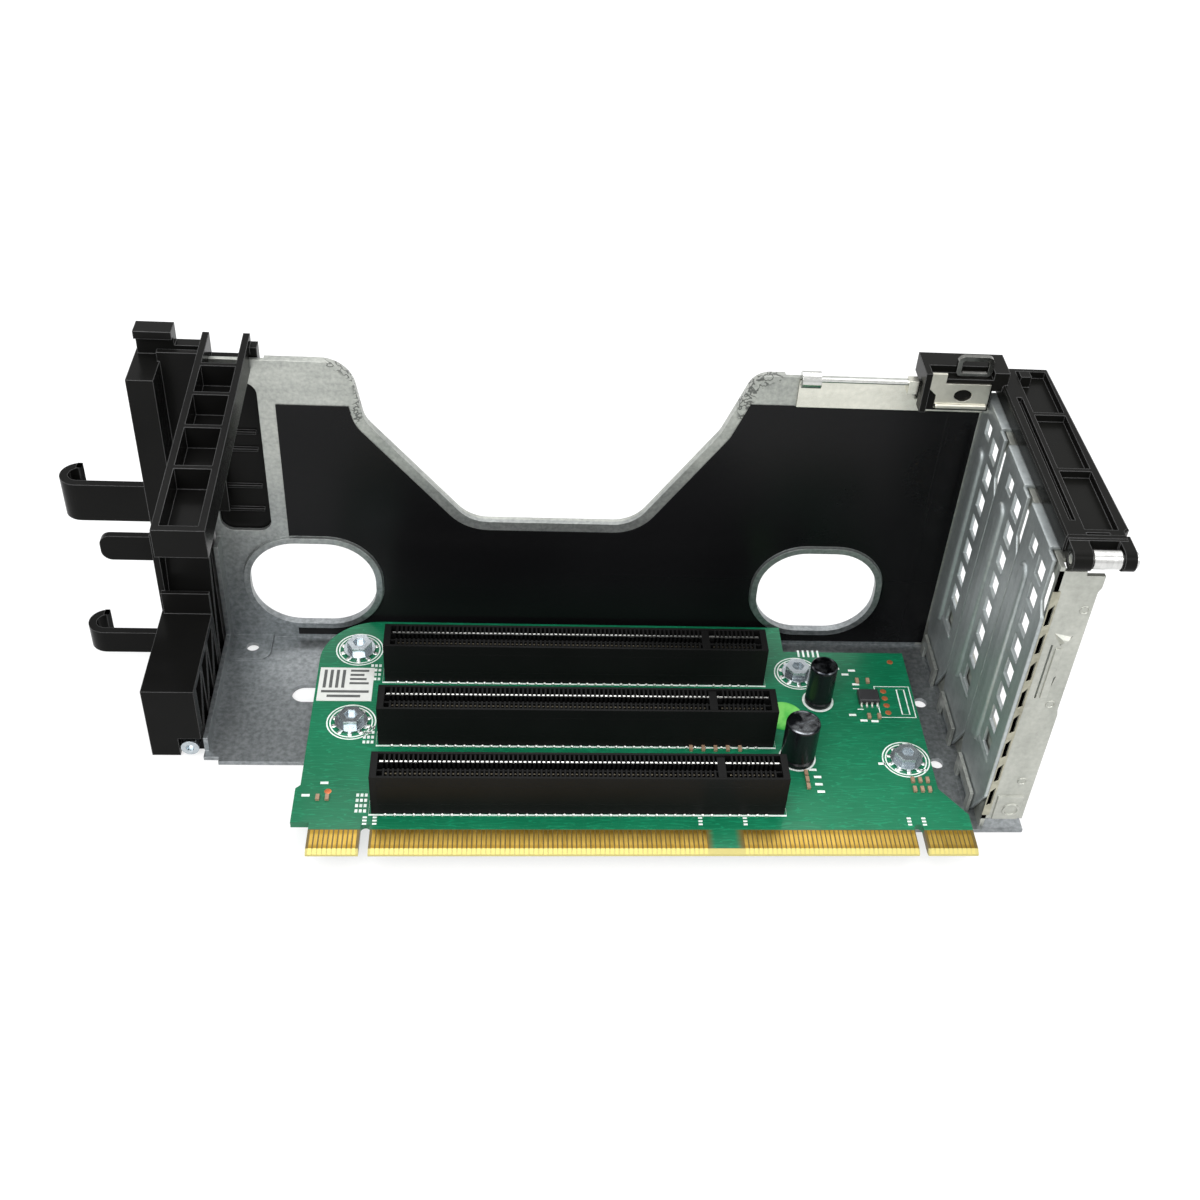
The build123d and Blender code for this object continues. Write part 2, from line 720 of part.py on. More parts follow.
with BuildPart() as hinge_sleeve:
    rod_x(hinge_y, hinge_z, sleeve_radius, (knuckle_x[1] + latch_gap, ear_x[0] - latch_gap))
    rod_x(hinge_y, hinge_z, hinge_radius + sleeve_fit, (knuckle_x[1], ear_x[0]), mode=Mode.SUBTRACT)
finish(hinge_sleeve, "hinge_sleeve")


# Card latch: moulded arm with a ribbed tray and a hooked block over the back wall
arm_left = panel_out - 0.2
arm_y = (hinge_y + 3.4, wall_front + 3.6)
arm_outer_back = panel_out + 11.7
arm_outer_front = panel_out + 13.2
arm_step_y = front_slot_y + 5.0
tray_x = (arm_left + 4.2, panel_out + 10.8)
tray_depth = 1.7
tray_ribs = [front_slot_y + 4.0 + i * slot_pitch for i in range(slot_count)]
rib_width = 1.0
hook_left = slot_right + 28.5
hook_y = (wall_front - 3.8, wall_front + 4.0)
hook_top = latch_top + 3.0
cheek_width = 1.4
recess_x = (hook_left + cheek_width, arm_left - 2.4)
recess_floor = hook_top - 1.8
skirt_back = wall_front - 1.9
skirt_bottom = wall_height - 4.8
with BuildPart() as latch_arm:
    with BuildSketch(Plane.XY.offset(latch_bottom)):
        with BuildLine():
            Polyline(
                (arm_left, arm_y[0]),
                (arm_outer_front - 1.0, arm_y[0]),
                (arm_outer_front - 1.0, arm_step_y - 1.0),
                (arm_outer_front, arm_step_y),
                (arm_outer_back, arm_y[1]),
                (arm_left, arm_y[1]),
                close=True,
            )
        make_face()
    extrude(amount=latch_thickness)
    chamfer(latch_arm.faces().sort_by(Axis.Z)[-1].edges(), length=0.4)
    tray_edges = tray_ribs + [arm_y[1] - 0.9]
    for low, high in zip(tray_edges[:-1], tray_edges[1:]):
        block(tray_x, (low + rib_width / 2, high - rib_width / 2), (latch_top - tray_depth, latch_top + 1),
              mode=Mode.SUBTRACT)
    block((tray_x[0], tray_x[1] - 2.0), (arm_y[0] + 0.5, tray_ribs[0] - rib_width / 2),
          (latch_top - 0.8, latch_top + 1), mode=Mode.SUBTRACT)
    block((arm_left + 1.9, arm_left + 3.1), (arm_y[0] + 5.0, arm_y[1] - 12.0),
          (latch_top - 1.2, latch_top + 1), mode=Mode.SUBTRACT)
    block((arm_left + 4.4, arm_left + 6.8), (wall_front - 1.6, wall_front + 0.8),
          (latch_top - tray_depth - 0.5, latch_top + 0.9))
    block((knuckle_x[0], ear_x[1] - 0.8), (arm_y[0] - 0.6, arm_y[0] + 1.0), (hinge_z - 0.4, latch_top - 0.6))
    for x in (knuckle_x, ear_x):
        rod_x(hinge_y, hinge_z, knuckle_radius, x)
        block(x, (hinge_y, arm_y[0] + 1.0), (hinge_z - 0.4, hinge_z + knuckle_radius))
        rod_x(hinge_y, hinge_z, hinge_radius + hinge_clearance, (x[0] - 1, x[1] + 1), mode=Mode.SUBTRACT)
    block((knuckle_x[1] - 0.1, ear_x[0] + 0.1), (hinge_y - 3, hinge_y + 2.4),
          (hinge_z - 3, hinge_z + 4), mode=Mode.SUBTRACT)
    block((hook_left, arm_left + 1.0), hook_y, (wall_height + 0.4, hook_top))
    block((hook_left, cover_face - seat_gap), (hook_y[0], skirt_back), (skirt_bottom, hook_top))
    block((hook_left, hook_left + cheek_width), (hook_y[0] - 1.2, hook_y[0] + 1), (skirt_bottom, hook_top))
    block(recess_x, (hook_y[0] - 1, hook_y[0] + 2.6), (recess_floor, hook_top + 1), mode=Mode.SUBTRACT)
finish(latch_arm, "latch_arm")

# Steel leaf on the front of the latch's hooked block, with a tab at its upper left corner
leaf_sheet = 0.6
leaf_tab_left = hook_left + cheek_width + 0.2
leaf_left = leaf_tab_left + 1.6
leaf_right = cover_face - 0.5
leaf_bottom = skirt_bottom + 0.9
leaf_top = wall_height + 2.3
with BuildPart() as latch_leaf:
    with BuildSketch(Plane.XZ.offset(-(hook_y[0] - leaf_sheet))):
        with BuildLine():
            Polyline(
                (leaf_left, leaf_bottom),
                (leaf_right, leaf_bottom),
                (leaf_right, leaf_top),
                (leaf_tab_left + 3.3, leaf_top),
                (leaf_tab_left + 3.3, hook_top - 0.3),
                (leaf_tab_left, hook_top - 0.3),
                (leaf_tab_left, leaf_top - 1.5),
                (leaf_left, leaf_top - 3.0),
                close=True,
            )
        make_face()
        with Locations((slot_right + 37.5, wall_height - 0.2)):
            Circle(1.2, mode=Mode.SUBTRACT)
    extrude(amount=-leaf_sheet)
    block((leaf_left, leaf_right), (hook_y[0] - leaf_sheet - 1.0, hook_y[0]),
          (leaf_bottom, leaf_bottom + leaf_sheet))
finish(latch_leaf, "latch_leaf")

# Wire bail, a closed loop that stands in the recess of the hooked block
bail_wire = 1.1
bail_x = (slot_right + 35.5, recess_x[1] - 0.4)
bail_height = 5.2
bail_y = hook_y[0] + 1.3
with BuildPart() as latch_bail:
    with BuildSketch(Plane.XZ.offset(-(bail_y - bail_wire / 2))):
        with Locations((sum(bail_x) / 2, recess_floor + bail_height / 2)):
            RectangleRounded(bail_x[1] - bail_x[0], bail_height, 1.6)
            RectangleRounded(bail_x[1] - bail_x[0] - 2 * bail_wire, bail_height - 2 * bail_wire, 0.5,
                             mode=Mode.SUBTRACT)
    extrude(amount=-bail_wire)
finish(latch_bail, "latch_bail")


# Card guide: moulded column with cable hooks, a ribbed beam and an open lattice
box_front = slot_ys[0] + 20.2
column_front = slot_ys[0] + 47.0
post_front = slot_ys[0] + 50.0
box_top = board_top + 12.0
ledge_top = board_top + 34.0
post_top = wall_height
post_right = guide_left + 5.6
plate_y = (wall_back + seat_gap, wall_back + seat_gap + 2.6)
plate_right = window_x[1] + 0.8
plate_z = (board_top + 18.0, post_top + 2.2)
beam_x = (slot_left - 36.6, slot_left - 26.8)
beam_y = (slot_ys[0] + 0.8, plate_y[1])
beam_depth = 6.3
beam_end_z = wall_height + 4.1
beam_slope = 0.067
beam_rungs = [slot_ys[0] + y for y in (19.4, 31.9, 42.5, 52.3)]
hook_tip = 14.6
hook_bend = 4.05
hook_depth = 8.2
tab_reach = 11.9


def beam_side(x, y0, y1, low, high):
    """Draws a part of the beam's side view at X, between two heights over its sloping underside."""
    with BuildSketch(Plane.YZ.offset(x)) as side:
        with BuildLine():
            under = [beam_end_z - beam_depth - beam_slope * (beam_y[1] - y) for y in (y0, y1)]
            Polyline((y0, under[0] + low), (y1, under[1] + low), (y1, under[1] + high),
                     (y0, under[0] + high), close=True)
        make_face()
    return side


with BuildPart() as card_guide:
    block((guide_left, guide_right), (box_front, plate_y[1]), (0, box_top))
    block((guide_left, guide_right), (column_front, plate_y[1]), (box_top - 1, ledge_top))
    block((guide_left + 0.6, guide_right), (column_front - 1.0, column_front + 1),
          (box_top - 1, box_top + 6.0))
    block((guide_left, post_right), (post_front, plate_y[1]), (ledge_top - 1, post_top))
    block((guide_left, guide_right), plate_y, (ledge_top - 1, post_top))
    block((post_right - 1, plate_right), plate_y, plate_z)
    block((post_right - 0.5, beam_x[0] + 2.0), (wall_front - 1.7, wall_front - seat_gap),
          (ledge_top - 1, post_top + 2.2))
    for z in (board_top + 31.5, board_top + 38.0, board_top + 48.0, board_top + 52.6):
        block((window_x[0] + 1.2, window_x[1] - 1.2), (plate_y[0] - 0.8, plate_y[0] + 0.5), (z, z + 0.7))
    beam_body = beam_side(beam_x[0], beam_y[0], beam_y[1], 0, beam_depth)
    extrude(beam_body.sketch, amount=beam_x[1] - beam_x[0])
    rung_ys = [beam_y[0] + guide_wall] + beam_rungs + [beam_y[1] + 1.0]
    for low, high in zip(rung_ys[:-1], rung_ys[1:]):
        pocket = beam_side(beam_x[0] + guide_wall, low, high - 1.0, guide_wall, beam_depth + 1)
        extrude(pocket.sketch, amount=beam_x[1] - beam_x[0] - 2 * guide_wall, mode=Mode.SUBTRACT)
    block((beam_x[0] - 1, beam_x[1] + 1), (wall_front - seat_gap, wall_back + seat_gap),
          (beam_end_z - 2 * beam_depth, wall_height + 0.6), mode=Mode.SUBTRACT)
    stem_y = (plate_y[1] - 2.6, plate_y[1])
    cap_x = (guide_left + 0.6, guide_left + 8.4)
    block(cap_x, stem_y, (post_top - 1, post_top + 4.6))
    block(cap_x, (stem_y[0] - 1.6, stem_y[1]), (post_top + 4.4, post_top + 6.2))
    hook_levels = [
        (post_front + 0.2, board_top + 35.2, board_top + 44.8, hook_tip),
        (column_front + 1.0, board_top - 2.0, board_top + 4.0, hook_tip),
    ]
    for y, low, high, reach in hook_levels:
        end = guide_left - reach - hook_bend
        with BuildSketch(Plane.XY.offset(low)):
            with BuildLine():
                outer = FilletPolyline(
                    (guide_left + 0.5, y),
                    (end, y),
                    (end, y + hook_depth),
                    (end + hook_bend + 0.4, y + hook_depth),
                    radius=hook_bend,
                )
                inner = FilletPolyline(
                    (guide_left + 0.5, y + hook_thickness),
                    (end + hook_thickness, y + hook_thickness),
                    (end + hook_thickness, y + hook_depth - hook_thickness),
                    (end + hook_bend + 0.4, y + hook_depth - hook_thickness),
                    radius=hook_bend - hook_thickness,
                )
                Line(outer @ 0, inner @ 0)
                Line(outer @ 1, inner @ 1)
            make_face()
        extrude(amount=high - low)
    with BuildSketch(Plane.XZ.offset(-post_front)):
        with BuildLine():
            FilletPolyline(
                (guide_left + 0.5, board_top + 24.3),
                (guide_left + 0.5, board_top + 31.0),
                (guide_left - tab_reach, board_top + 31.0),
                (guide_left - tab_reach, board_top + 24.3),
                radius=[0.1, 0.1, 2.4, 2.4],
                close=True,
            )
        make_face()
    extrude(amount=-1.6)
    lattice_cells = [
        (box_front + 2.4, column_front - 1.6, 1.6, box_top - 1.6, 3),
        (column_front - 0.4, wall_front - lip_height - 1.0, 1.6, ledge_top - 1.6, 1),
    ]
    for y0, y1, z0, z1, count in lattice_cells:
        step = (y1 - y0) / count
        for i in range(count):
            ya, yb = y0 + i * step, y0 + (i + 1) * step
            with BuildSketch(Plane.YZ.offset(guide_right)):
                with BuildLine():
                    Polyline((ya + 0.4, z0 + 1.2), (yb - 1.4, z1), (ya + 0.4, z1), close=True)
                make_face()
                with BuildLine():
                    Polyline((ya + 1.4, z0), (yb - 0.4, z0), (yb - 0.4, z1 - 1.2), close=True)
                make_face()
            extrude(amount=-(guide_width - guide_wall), mode=Mode.SUBTRACT)
    block((guide_right - 5.0, guide_right + 1), (box_front - 1, box_front + 2.0), (-1, board_top - 2.4),
          mode=Mode.SUBTRACT)
    rod_y(guide_right - 2.6, 2.7, 1.25, (box_front + 1, box_front + 8.0), mode=Mode.SUBTRACT)
finish(card_guide, "card_guide")

# Screw that fixes the card guide, with a recessed drive
with BuildPart() as guide_screw:
    rod_y(guide_right - 2.6, 2.7, 2.0, (box_front - 0.4, box_front + 1.9))
    rod_y(guide_right - 2.6, 2.7, 1.2, (box_front + 1.8, box_front + 7.6))
    with BuildSketch(Plane.XZ.offset(-(box_front - 0.4))):
        with Locations((guide_right - 2.6, 2.7)):
            RegularPolygon(1.0, 6)
    extrude(amount=-1.0, mode=Mode.SUBTRACT)
finish(guide_screw, "guide_screw")
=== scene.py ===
import math

import bmesh
import bpy
from mathutils import Matrix, Vector


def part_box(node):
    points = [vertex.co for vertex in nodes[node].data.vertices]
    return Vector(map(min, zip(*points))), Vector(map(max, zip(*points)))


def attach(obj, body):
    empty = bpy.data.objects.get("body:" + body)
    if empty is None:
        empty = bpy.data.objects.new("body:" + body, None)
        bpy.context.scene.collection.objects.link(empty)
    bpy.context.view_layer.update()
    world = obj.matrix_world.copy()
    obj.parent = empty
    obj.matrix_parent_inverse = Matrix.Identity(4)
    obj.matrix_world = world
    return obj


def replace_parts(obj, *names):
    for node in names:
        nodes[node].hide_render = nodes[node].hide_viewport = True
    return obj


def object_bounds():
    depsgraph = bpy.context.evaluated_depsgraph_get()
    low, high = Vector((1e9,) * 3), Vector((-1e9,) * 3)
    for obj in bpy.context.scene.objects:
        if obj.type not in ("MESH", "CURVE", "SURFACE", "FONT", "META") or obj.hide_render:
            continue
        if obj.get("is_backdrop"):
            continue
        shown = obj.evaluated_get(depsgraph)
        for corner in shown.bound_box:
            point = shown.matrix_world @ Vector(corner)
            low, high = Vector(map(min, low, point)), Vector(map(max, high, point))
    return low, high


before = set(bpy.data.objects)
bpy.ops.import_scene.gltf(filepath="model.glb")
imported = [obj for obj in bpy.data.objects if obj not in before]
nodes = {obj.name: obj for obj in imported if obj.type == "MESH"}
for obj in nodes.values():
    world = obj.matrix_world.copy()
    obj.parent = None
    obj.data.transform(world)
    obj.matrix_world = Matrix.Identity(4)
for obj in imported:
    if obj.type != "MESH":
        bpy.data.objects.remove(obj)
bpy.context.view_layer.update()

bpy.context.scene.view_settings.view_transform = "Standard"
MM = 0.001


# Cage: one folded sheet of zinc-coated steel, base plate and back wall in one. The steel is
# painted darker towards the bottom as shade, so the base and the foot of the wall are dark, the
# dark tone with a crystal pattern. The wall's top, its back and the receivers of the covers are
# left unshaded and brighter, and forming the rim has left coined marks at the scallop's corners.
class Socket:
    """A shader value. Sums and products of it become math nodes."""

    def __init__(self, output):
        self.output = output
        self.tree = output.id_data

    def plug(self, target, value):
        """Links a socket to an input, or sets the input to a plain value."""
        if isinstance(value, Socket):
            self.tree.links.new(value.output, target)
        else:
            target.default_value = value

    def node(self, kind, inputs, result=0, **settings):
        """Adds a node with its settings and its inputs, and gives one of its outputs."""
        made = self.tree.nodes.new(kind)
        for name, value in settings.items():
            setattr(made, name, value)
        for name, value in inputs.items():
            self.plug(made.inputs[name], value)
        return Socket(made.outputs[result])

    def math(self, operation, other=0.0):
        """Adds a math node with this value first."""
        return self.node("ShaderNodeMath", {0: self, 1: other}, operation=operation)

    def __add__(self, other):
        return self.math("ADD", other)

    def __sub__(self, other):
        return self.math("SUBTRACT", other)

    def __rsub__(self, other):
        return self.node("ShaderNodeMath", {0: other, 1: self}, operation="SUBTRACT")

    def __mul__(self, other):
        return self.math("MULTIPLY", other)

    __radd__ = __add__
    __rmul__ = __mul__

    def step(self, low, high):
        """Rises smoothly from 0 at low to 1 at high."""
        spans = {0: self, 1: low, 2: high}
        return self.node("ShaderNodeMapRange", spans, interpolation_type="SMOOTHSTEP")

    def past(self, value, blur=0.1 * MM):
        """Is 0 before a value and 1 after it, with a short blur between."""
        return self.step(value - blur / 2, value + blur / 2)

    def near(self, value, width):
        """Is 1 within half a width of a value and falls to 0 at the whole width."""
        return 1.0 - (self - value).math("ABSOLUTE").step(width * 0.5, width)

    def mix(self, low, high):
        """Blends two colours by this value."""
        return self.node("ShaderNodeMix", {0: self, 6: low, 7: high}, 2, data_type="RGBA")

    def stretched(self, x, y, z):
        """Scales a vector by one factor for each axis."""
        return self.node("ShaderNodeVectorMath", {0: self, 1: (x, y, z)}, operation="MULTIPLY")

    def noise(self, scale, detail=3.0):
        """Gives a cloudy value from 0 to 1 for a place."""
        inputs = {"Vector": self, "Scale": scale, "Detail": detail, "Roughness": 0.55}
        return self.node("ShaderNodeTexNoise", inputs)

    def axis(self, name):
        """Gives one value of a vector, X, Y or Z."""
        return self.node("ShaderNodeSeparateXYZ", {0: self}, name)


class Finish:
    """One material with its shader and its place on the part in metres."""

    def __init__(self, name, metallic=0.0, coat=0.0, specular=0.5, edge=0.0):
        """The edge is the radius in millimetres that sharp edges are shaded with."""
        self.edge = edge * MM
        self.material = bpy.data.materials.new(name)
        self.material.use_nodes = True
        self.shader = self.material.node_tree.nodes["Principled BSDF"]
        self.shader.inputs["Metallic"].default_value = metallic
        self.shader.inputs["Coat Weight"].default_value = coat
        self.shader.inputs["Specular IOR Level"].default_value = specular
        self.place = Socket(self.shader.outputs[0]).node("ShaderNodeTexCoord", {}, "Object")

    def rounded(self):
        """Gives the surface's direction with its edges rounded off."""
        return self.place.node("ShaderNodeBevel", {"Radius": self.edge}, samples=6)

    def edges(self):
        """Is 0 on flat faces and rises to 1 on the edges."""
        flat = self.place.node("ShaderNodeNewGeometry", {}, "Normal")
        directions = {0: self.rounded(), 1: flat}
        alike = self.place.node(
            "ShaderNodeVectorMath", directions, "Value", operation="DOT_PRODUCT")
        return 1.0 - alike.step(0.86, 0.99)

    def feed(self, name, value):
        """Gives an input of the shader what changes over the surface."""
        self.place.plug(self.shader.inputs[name], value)

    def set(self, color, rough, bump, height, strength=0.3):
        """Feeds colour, roughness and relief, with its height in millimetres, to the shader."""
        inputs = {"Strength": strength, "Distance": height * MM, "Height": bump}
        if self.edge:
            inputs["Normal"] = self.rounded()
        self.feed("Base Color", color)
        self.feed("Roughness", rough)
        self.feed("Normal", self.place.node("ShaderNodeBump", inputs, "Normal"))
        return self.material


def rgb(red, green, blue):
    """Turns display values from 0 to 255 into a linear colour."""
    linear = [((v / 255 + 0.055) / 1.055) ** 2.4 if v > 10 else v / 255 / 12.92
              for v in (red, green, blue)]
    return (*linear, 1.0)


def dress(material, slot_name, *names):
    """Gives CAD nodes their finish."""
    for name in names:
        nodes[name].data.materials.clear()
        nodes[name].data.materials.append(material)


receivers_x = 78.6 * MM
receivers_z = 1.25 * MM
wall_back = 30.25 * MM
wall_top = 78.0 * MM
mark_z = 71.6 * MM
mark_radius = 8.6 * MM
mark_width = 2.2 * MM
cage = Finish("cage_steel", metallic=0.8, edge=0.15)
cage_x, cage_y, cage_z = [cage.place.axis(name) for name in "XYZ"]
crystals = cage.place.noise(1100.0, 2.0)
spangle = cage.place.noise(800.0, 2.0)
rolling = cage.place.stretched(0.25, 1.0, 1.0).noise(260.0, 4.0)
patches = cage.place.noise(32.0)
tone = (patches * 0.3 + rolling * 0.3 + crystals * 0.4).step(0.25, 0.75)
bright = tone.mix(rgb(142, 145, 141), rgb(194, 196, 189))
# Painted shade: the darker tone below, with its crystal pattern, stands for the shade on the base
# and the wall's foot.
mottle = (spangle * 0.5 + crystals * 0.5).step(0.3, 0.7)
painted_shade_tone = mottle.mix(rgb(114, 118, 120), rgb(148, 152, 154))
receivers = cage_x.past(receivers_x, 0.4 * MM) * cage_z.past(receivers_z, 0.3 * MM)
outside = cage_y.past(wall_back, 0.3 * MM)
# The painted shade fades out from the base up to the wall's top; the receivers and the wall's back
# are left lit.
unshaded_share = cage_z.step(0.0, wall_top).math("MAXIMUM", receivers.math("MAXIMUM", outside))
coined = 0.0
for corner_x, side in ((-65.2 * MM, 1.0), (35.6 * MM, -1.0)):
    across = (cage_x - corner_x) * side
    above = cage_z - mark_z
    reach = (across * across + above * above).math("SQRT")
    coined = reach.near(mark_radius, mark_width) * across.step(0.0, 2.0 * MM) + coined
coined = coined * cage.place.noise(700.0, 1.0).near(0.5, 0.06)
cage_color = (coined * 0.8).mix(unshaded_share.mix(painted_shade_tone, bright), rgb(70, 72, 70))
cage_rough = 0.32 + patches * 0.08 + crystals * 0.06
cage_steel = cage.set(cage_color, cage_rough, rolling * 0.4 + crystals + coined, 0.02, 0.2)
dress(cage_steel, "cage_steel", "cage")


# Strip, wire and clip along the top of the back wall: a strip of bright rolled steel fixed over
# the wall, and a spring wire in a crimped barrel. They are smoother than the cage and warmer.
def sheet_steel(name, dark, light, rough, grain=(1.0, 1.0, 1.0), metallic=1.0, edge=0.15):
    """A rolled, coated steel: crystals, streaks along the rolling direction and rubbed marks."""
    steel = Finish(name, metallic=metallic, edge=edge)
    crystals = steel.place.noise(900.0, 2.0)
    streaks = steel.place.stretched(*grain).noise(260.0, 4.0)
    clouds = steel.place.noise(32.0)
    tone = clouds * 0.35 + streaks * 0.35 + crystals * 0.3
    color = tone.step(0.2, 0.8).mix(dark, light)
    roughness = rough + clouds * 0.06 + crystals * 0.05
    return steel.set(color, roughness, streaks * 0.5 + crystals, 0.01, 0.15)


along_x = (0.1, 1.0, 1.0)
strip_steel = sheet_steel("strip_steel", rgb(190, 190, 180), rgb(226, 225, 214), 0.2, along_x)
dress(strip_steel, "strip_steel", "wall_strip")
wire_steel = sheet_steel("wire_steel", rgb(170, 171, 168), rgb(222, 222, 218), 0.15, along_x)
dress(wire_steel, "wire_steel", "wall_wire")
dress(wire_steel, "clip_steel", "wire_clip")


# Insulating film on the back wall: thin black plastic with a satin face, stuck to the steel. It
# is slightly wavy, with one upright and one lying crease where it was folded.
film = Finish("insulating_film", specular=0.12)
film_x, film_z = [film.place.axis(name) for name in "XZ"]
waves = film.place.noise(14.0, 2.0)
grain = film.place.noise(1400.0, 2.0)
upright_crease = film_x.near(73.5 * MM, 0.6 * MM)
lying_crease = film_z.near(22.5 * MM, 0.5 * MM) * film_x.step(-20.0 * MM, 0.0)
film_color = waves.step(0.3, 0.7).mix(rgb(12, 12, 13), rgb(20, 20, 21))
film_relief = grain * 0.25 + waves + (upright_crease + lying_crease) * 0.4
black_film = film.set(film_color, 0.2 + waves * 0.1, film_relief, 0.3, 0.25)
dress(black_film, "black_film", "insulator_film")


# Riser board: glass laminate under a green mask, with copper planes and traces that show as a
# lighter green. The mask ends above the edge fingers, and brown laminate shows between them.
board_low, board_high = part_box("riser_board")
board_top = board_high.z
board_front = board_low.y
rear_slot_low, rear_slot_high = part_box("card_slot_1")
slot_left, slot_right = rear_slot_low.x, rear_slot_high.x
front_slot_low, front_slot_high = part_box("card_slot_3")
front_slot_y = (front_slot_low.y + front_slot_high.y) / 2
slot_pitch = 20.32 * MM
slot_ys = [front_slot_y + i * slot_pitch for i in range(3)]
mask_y = board_front + 6.4 * MM
bevel_y = board_front + 1.2 * MM
gap_x = slot_left + 75.3 * MM
gap_width = 4.1 * MM

board = Finish("board_laminate", coat=0.1, specular=0.3)
board_x, board_y = [board.place.axis(name) for name in "XY"]
cloud = board.place.noise(40.0, 2.0)
traces = board.place.stretched(1.0, 9.0, 1.0).noise(160.0, 1.0).near(0.5, 0.03)
copper_shows = (cloud * 0.6 + traces * 0.35).step(0.1, 0.8)
mask_green = copper_shows.mix(rgb(6, 94, 62), rgb(16, 122, 84))
in_gap = board_x.near(gap_x, gap_width) * board_y.past(bevel_y + 0.05 * MM)
laminate = (1.0 - board_y.past(bevel_y)).mix(rgb(96, 80, 36), rgb(176, 165, 98))
masked = board_y.past(mask_y).math("MAXIMUM", in_gap)
board_relief = traces + cloud * 0.5
board_laminate = board.set(
    masked.mix(laminate, mask_green), 0.3 + cloud * 0.15, board_relief, 0.03, 0.3)
dress(board_laminate, "board_laminate", "riser_board")


# Edge fingers: gold plate over copper on the board's front edge. A card's contacts have rubbed
# a duller track across them, and the very edge is ground to a pale bevel.
gold = Finish("gold_plate", metallic=1.0)
gold_y = gold.place.axis("Y")
wear = gold.place.stretched(2.0, 0.3, 1.0).noise(500.0)
track = gold_y.near(board_front + 3.6 * MM, 2.0 * MM)
plate = (wear * 0.7 + track * 0.3).step(0.2, 0.9).mix(rgb(150, 118, 44), rgb(196, 164, 82))
gold_color = (1.0 - gold_y.past(bevel_y)).mix(plate, rgb(188, 176, 108))
gold_plate = gold.set(gold_color, 0.3 + wear * 0.15, wear, 0.01, 0.2)
dress(gold_plate, "gold_plate", "gold_fingers")


# White ink on the board, screen printed on the mask: frames round the card slots, rings round
# the screws and cans, the outline of a pin header and short lines beside the chip.
def build(name, points, faces, material, body="cage"):
    """Makes a mesh from points in metres, which moves with one body."""
    data = bpy.data.meshes.new(name)
    data.from_pydata([tuple(p) for p in points], [], faces)
    data.update()
    data.materials.append(material)
    made = bpy.data.objects.new(name, data)
    bpy.context.scene.collection.objects.link(made)
    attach(made, body)
    return made


def ribbon(points, width, closed, shapes):
    """Adds a flat line of a given width through points on the board to a list of shapes."""
    count = len(points)
    corners = []
    for i, point in enumerate(points):
        before = points[i - 1] if i or closed else point
        after = points[(i + 1) % count] if i < count - 1 or closed else point
        along = (Vector(after) - Vector(before)).normalized()
        side = Vector((-along.y, along.x)) * width / 2
        corners.append((Vector(point) + side, Vector(point) - side))
    for i in range(count if closed else count - 1):
        a, b = corners[i], corners[(i + 1) % count]
        shapes.append([a[0], a[1], b[1], b[0]])


def circle(x, y, radius, count=40, start=0.0, sweep=360.0):
    """Gives points round a circle or along an arc."""
    last = count if sweep >= 360.0 else count - 1
    turns = [math.radians(start + sweep * i / last) for i in range(count)]
    return [(x + radius * math.cos(turn), y + radius * math.sin(turn)) for turn in turns]


def rectangle(x, y, half_x, half_y):
    """Gives the corners of a rectangle round its middle."""
    return [(x - half_x, y - half_y), (x + half_x, y - half_y),
            (x + half_x, y + half_y), (x - half_x, y + half_y)]


def print_shapes(name, shapes, material, height=0.03 * MM):
    """Lays flat shapes over the board's top face."""
    points, faces = [], []
    for shape in shapes:
        start = len(points)
        points += [(p[0], p[1], board_top + height) for p in shape]
        faces.append(list(range(start, len(points))))
    return build(name, points, faces, material)


ink = Finish("white_ink")
ink_noise = ink.place.noise(700.0, 2.0)
ink_color = ink_noise.step(0.2, 0.7).mix(rgb(196, 214, 204), rgb(236, 240, 236))
white_ink = ink.set(ink_color, 0.5, ink_noise, 0.02)
screw_places = [
    (slot_left + x * MM, slot_ys[row] + y * MM)
    for x, row, y in ((-6.6, 2, 7.0), (-6.5, 1, 3.2), (97.7, 2, 0.5), (119.3, 0, 12.9))
]
header_x, header_y = slot_left + 120.1 * MM, slot_ys[0] + 31.7 * MM
frame_reach, frame_line = 4.1 * MM, 0.45 * MM
ring_line, thin_line, can_line = 0.32 * MM, 0.3 * MM, 0.7 * MM
lines = []
for y in slot_ys:
    left, right = slot_left - 0.5 * MM, slot_right + 0.5 * MM
    corners = [(left, y + frame_reach), (left, y - frame_reach),
               (right, y - frame_reach), (right, y + frame_reach)]
    ribbon(corners, frame_line, True, lines)
for x, y in screw_places:
    for radius in (5.4 * MM, 4.7 * MM):
        ribbon(circle(x, y, radius), ring_line, True, lines)
for can_node in ("capacitor_front", "capacitor_rear"):
    low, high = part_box(can_node)
    middle = (low + high) / 2
    radius = (high.x - low.x) / 2 + 0.9 * MM
    ribbon(circle(middle.x, middle.y, radius), can_line, True, lines)
for half_x, half_y, shift in ((4.2, 5.2, 0.0), (0.9, 4.2, 2.0)):
    outline = rectangle(header_x + shift * MM, header_y, half_x * MM, half_y * MM)
    ribbon(outline, thin_line, True, lines)
chip_low, chip_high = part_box("memory_chip")
for side in (chip_low.y - 0.5 * MM, chip_high.y + 0.5 * MM):
    ends = [(chip_low.x - 0.6 * MM, side), (chip_low.x + 0.9 * MM, side)]
    ribbon(ends, thin_line, False, lines)
print_shapes("ink_lines", lines, white_ink)


# Small ink marks of the same print: ticks at the slots' first positions, and short dashes beside
# the small parts, where the real board has its numbers.
marks = []


def mark(x, y, width, height):
    """Adds an ink dash, in millimetres from the front slot's left end and middle line."""
    middle_x, middle_y = slot_left + x * MM, slot_ys[0] + y * MM
    marks.append(rectangle(middle_x, middle_y, width * MM / 2, height * MM / 2))


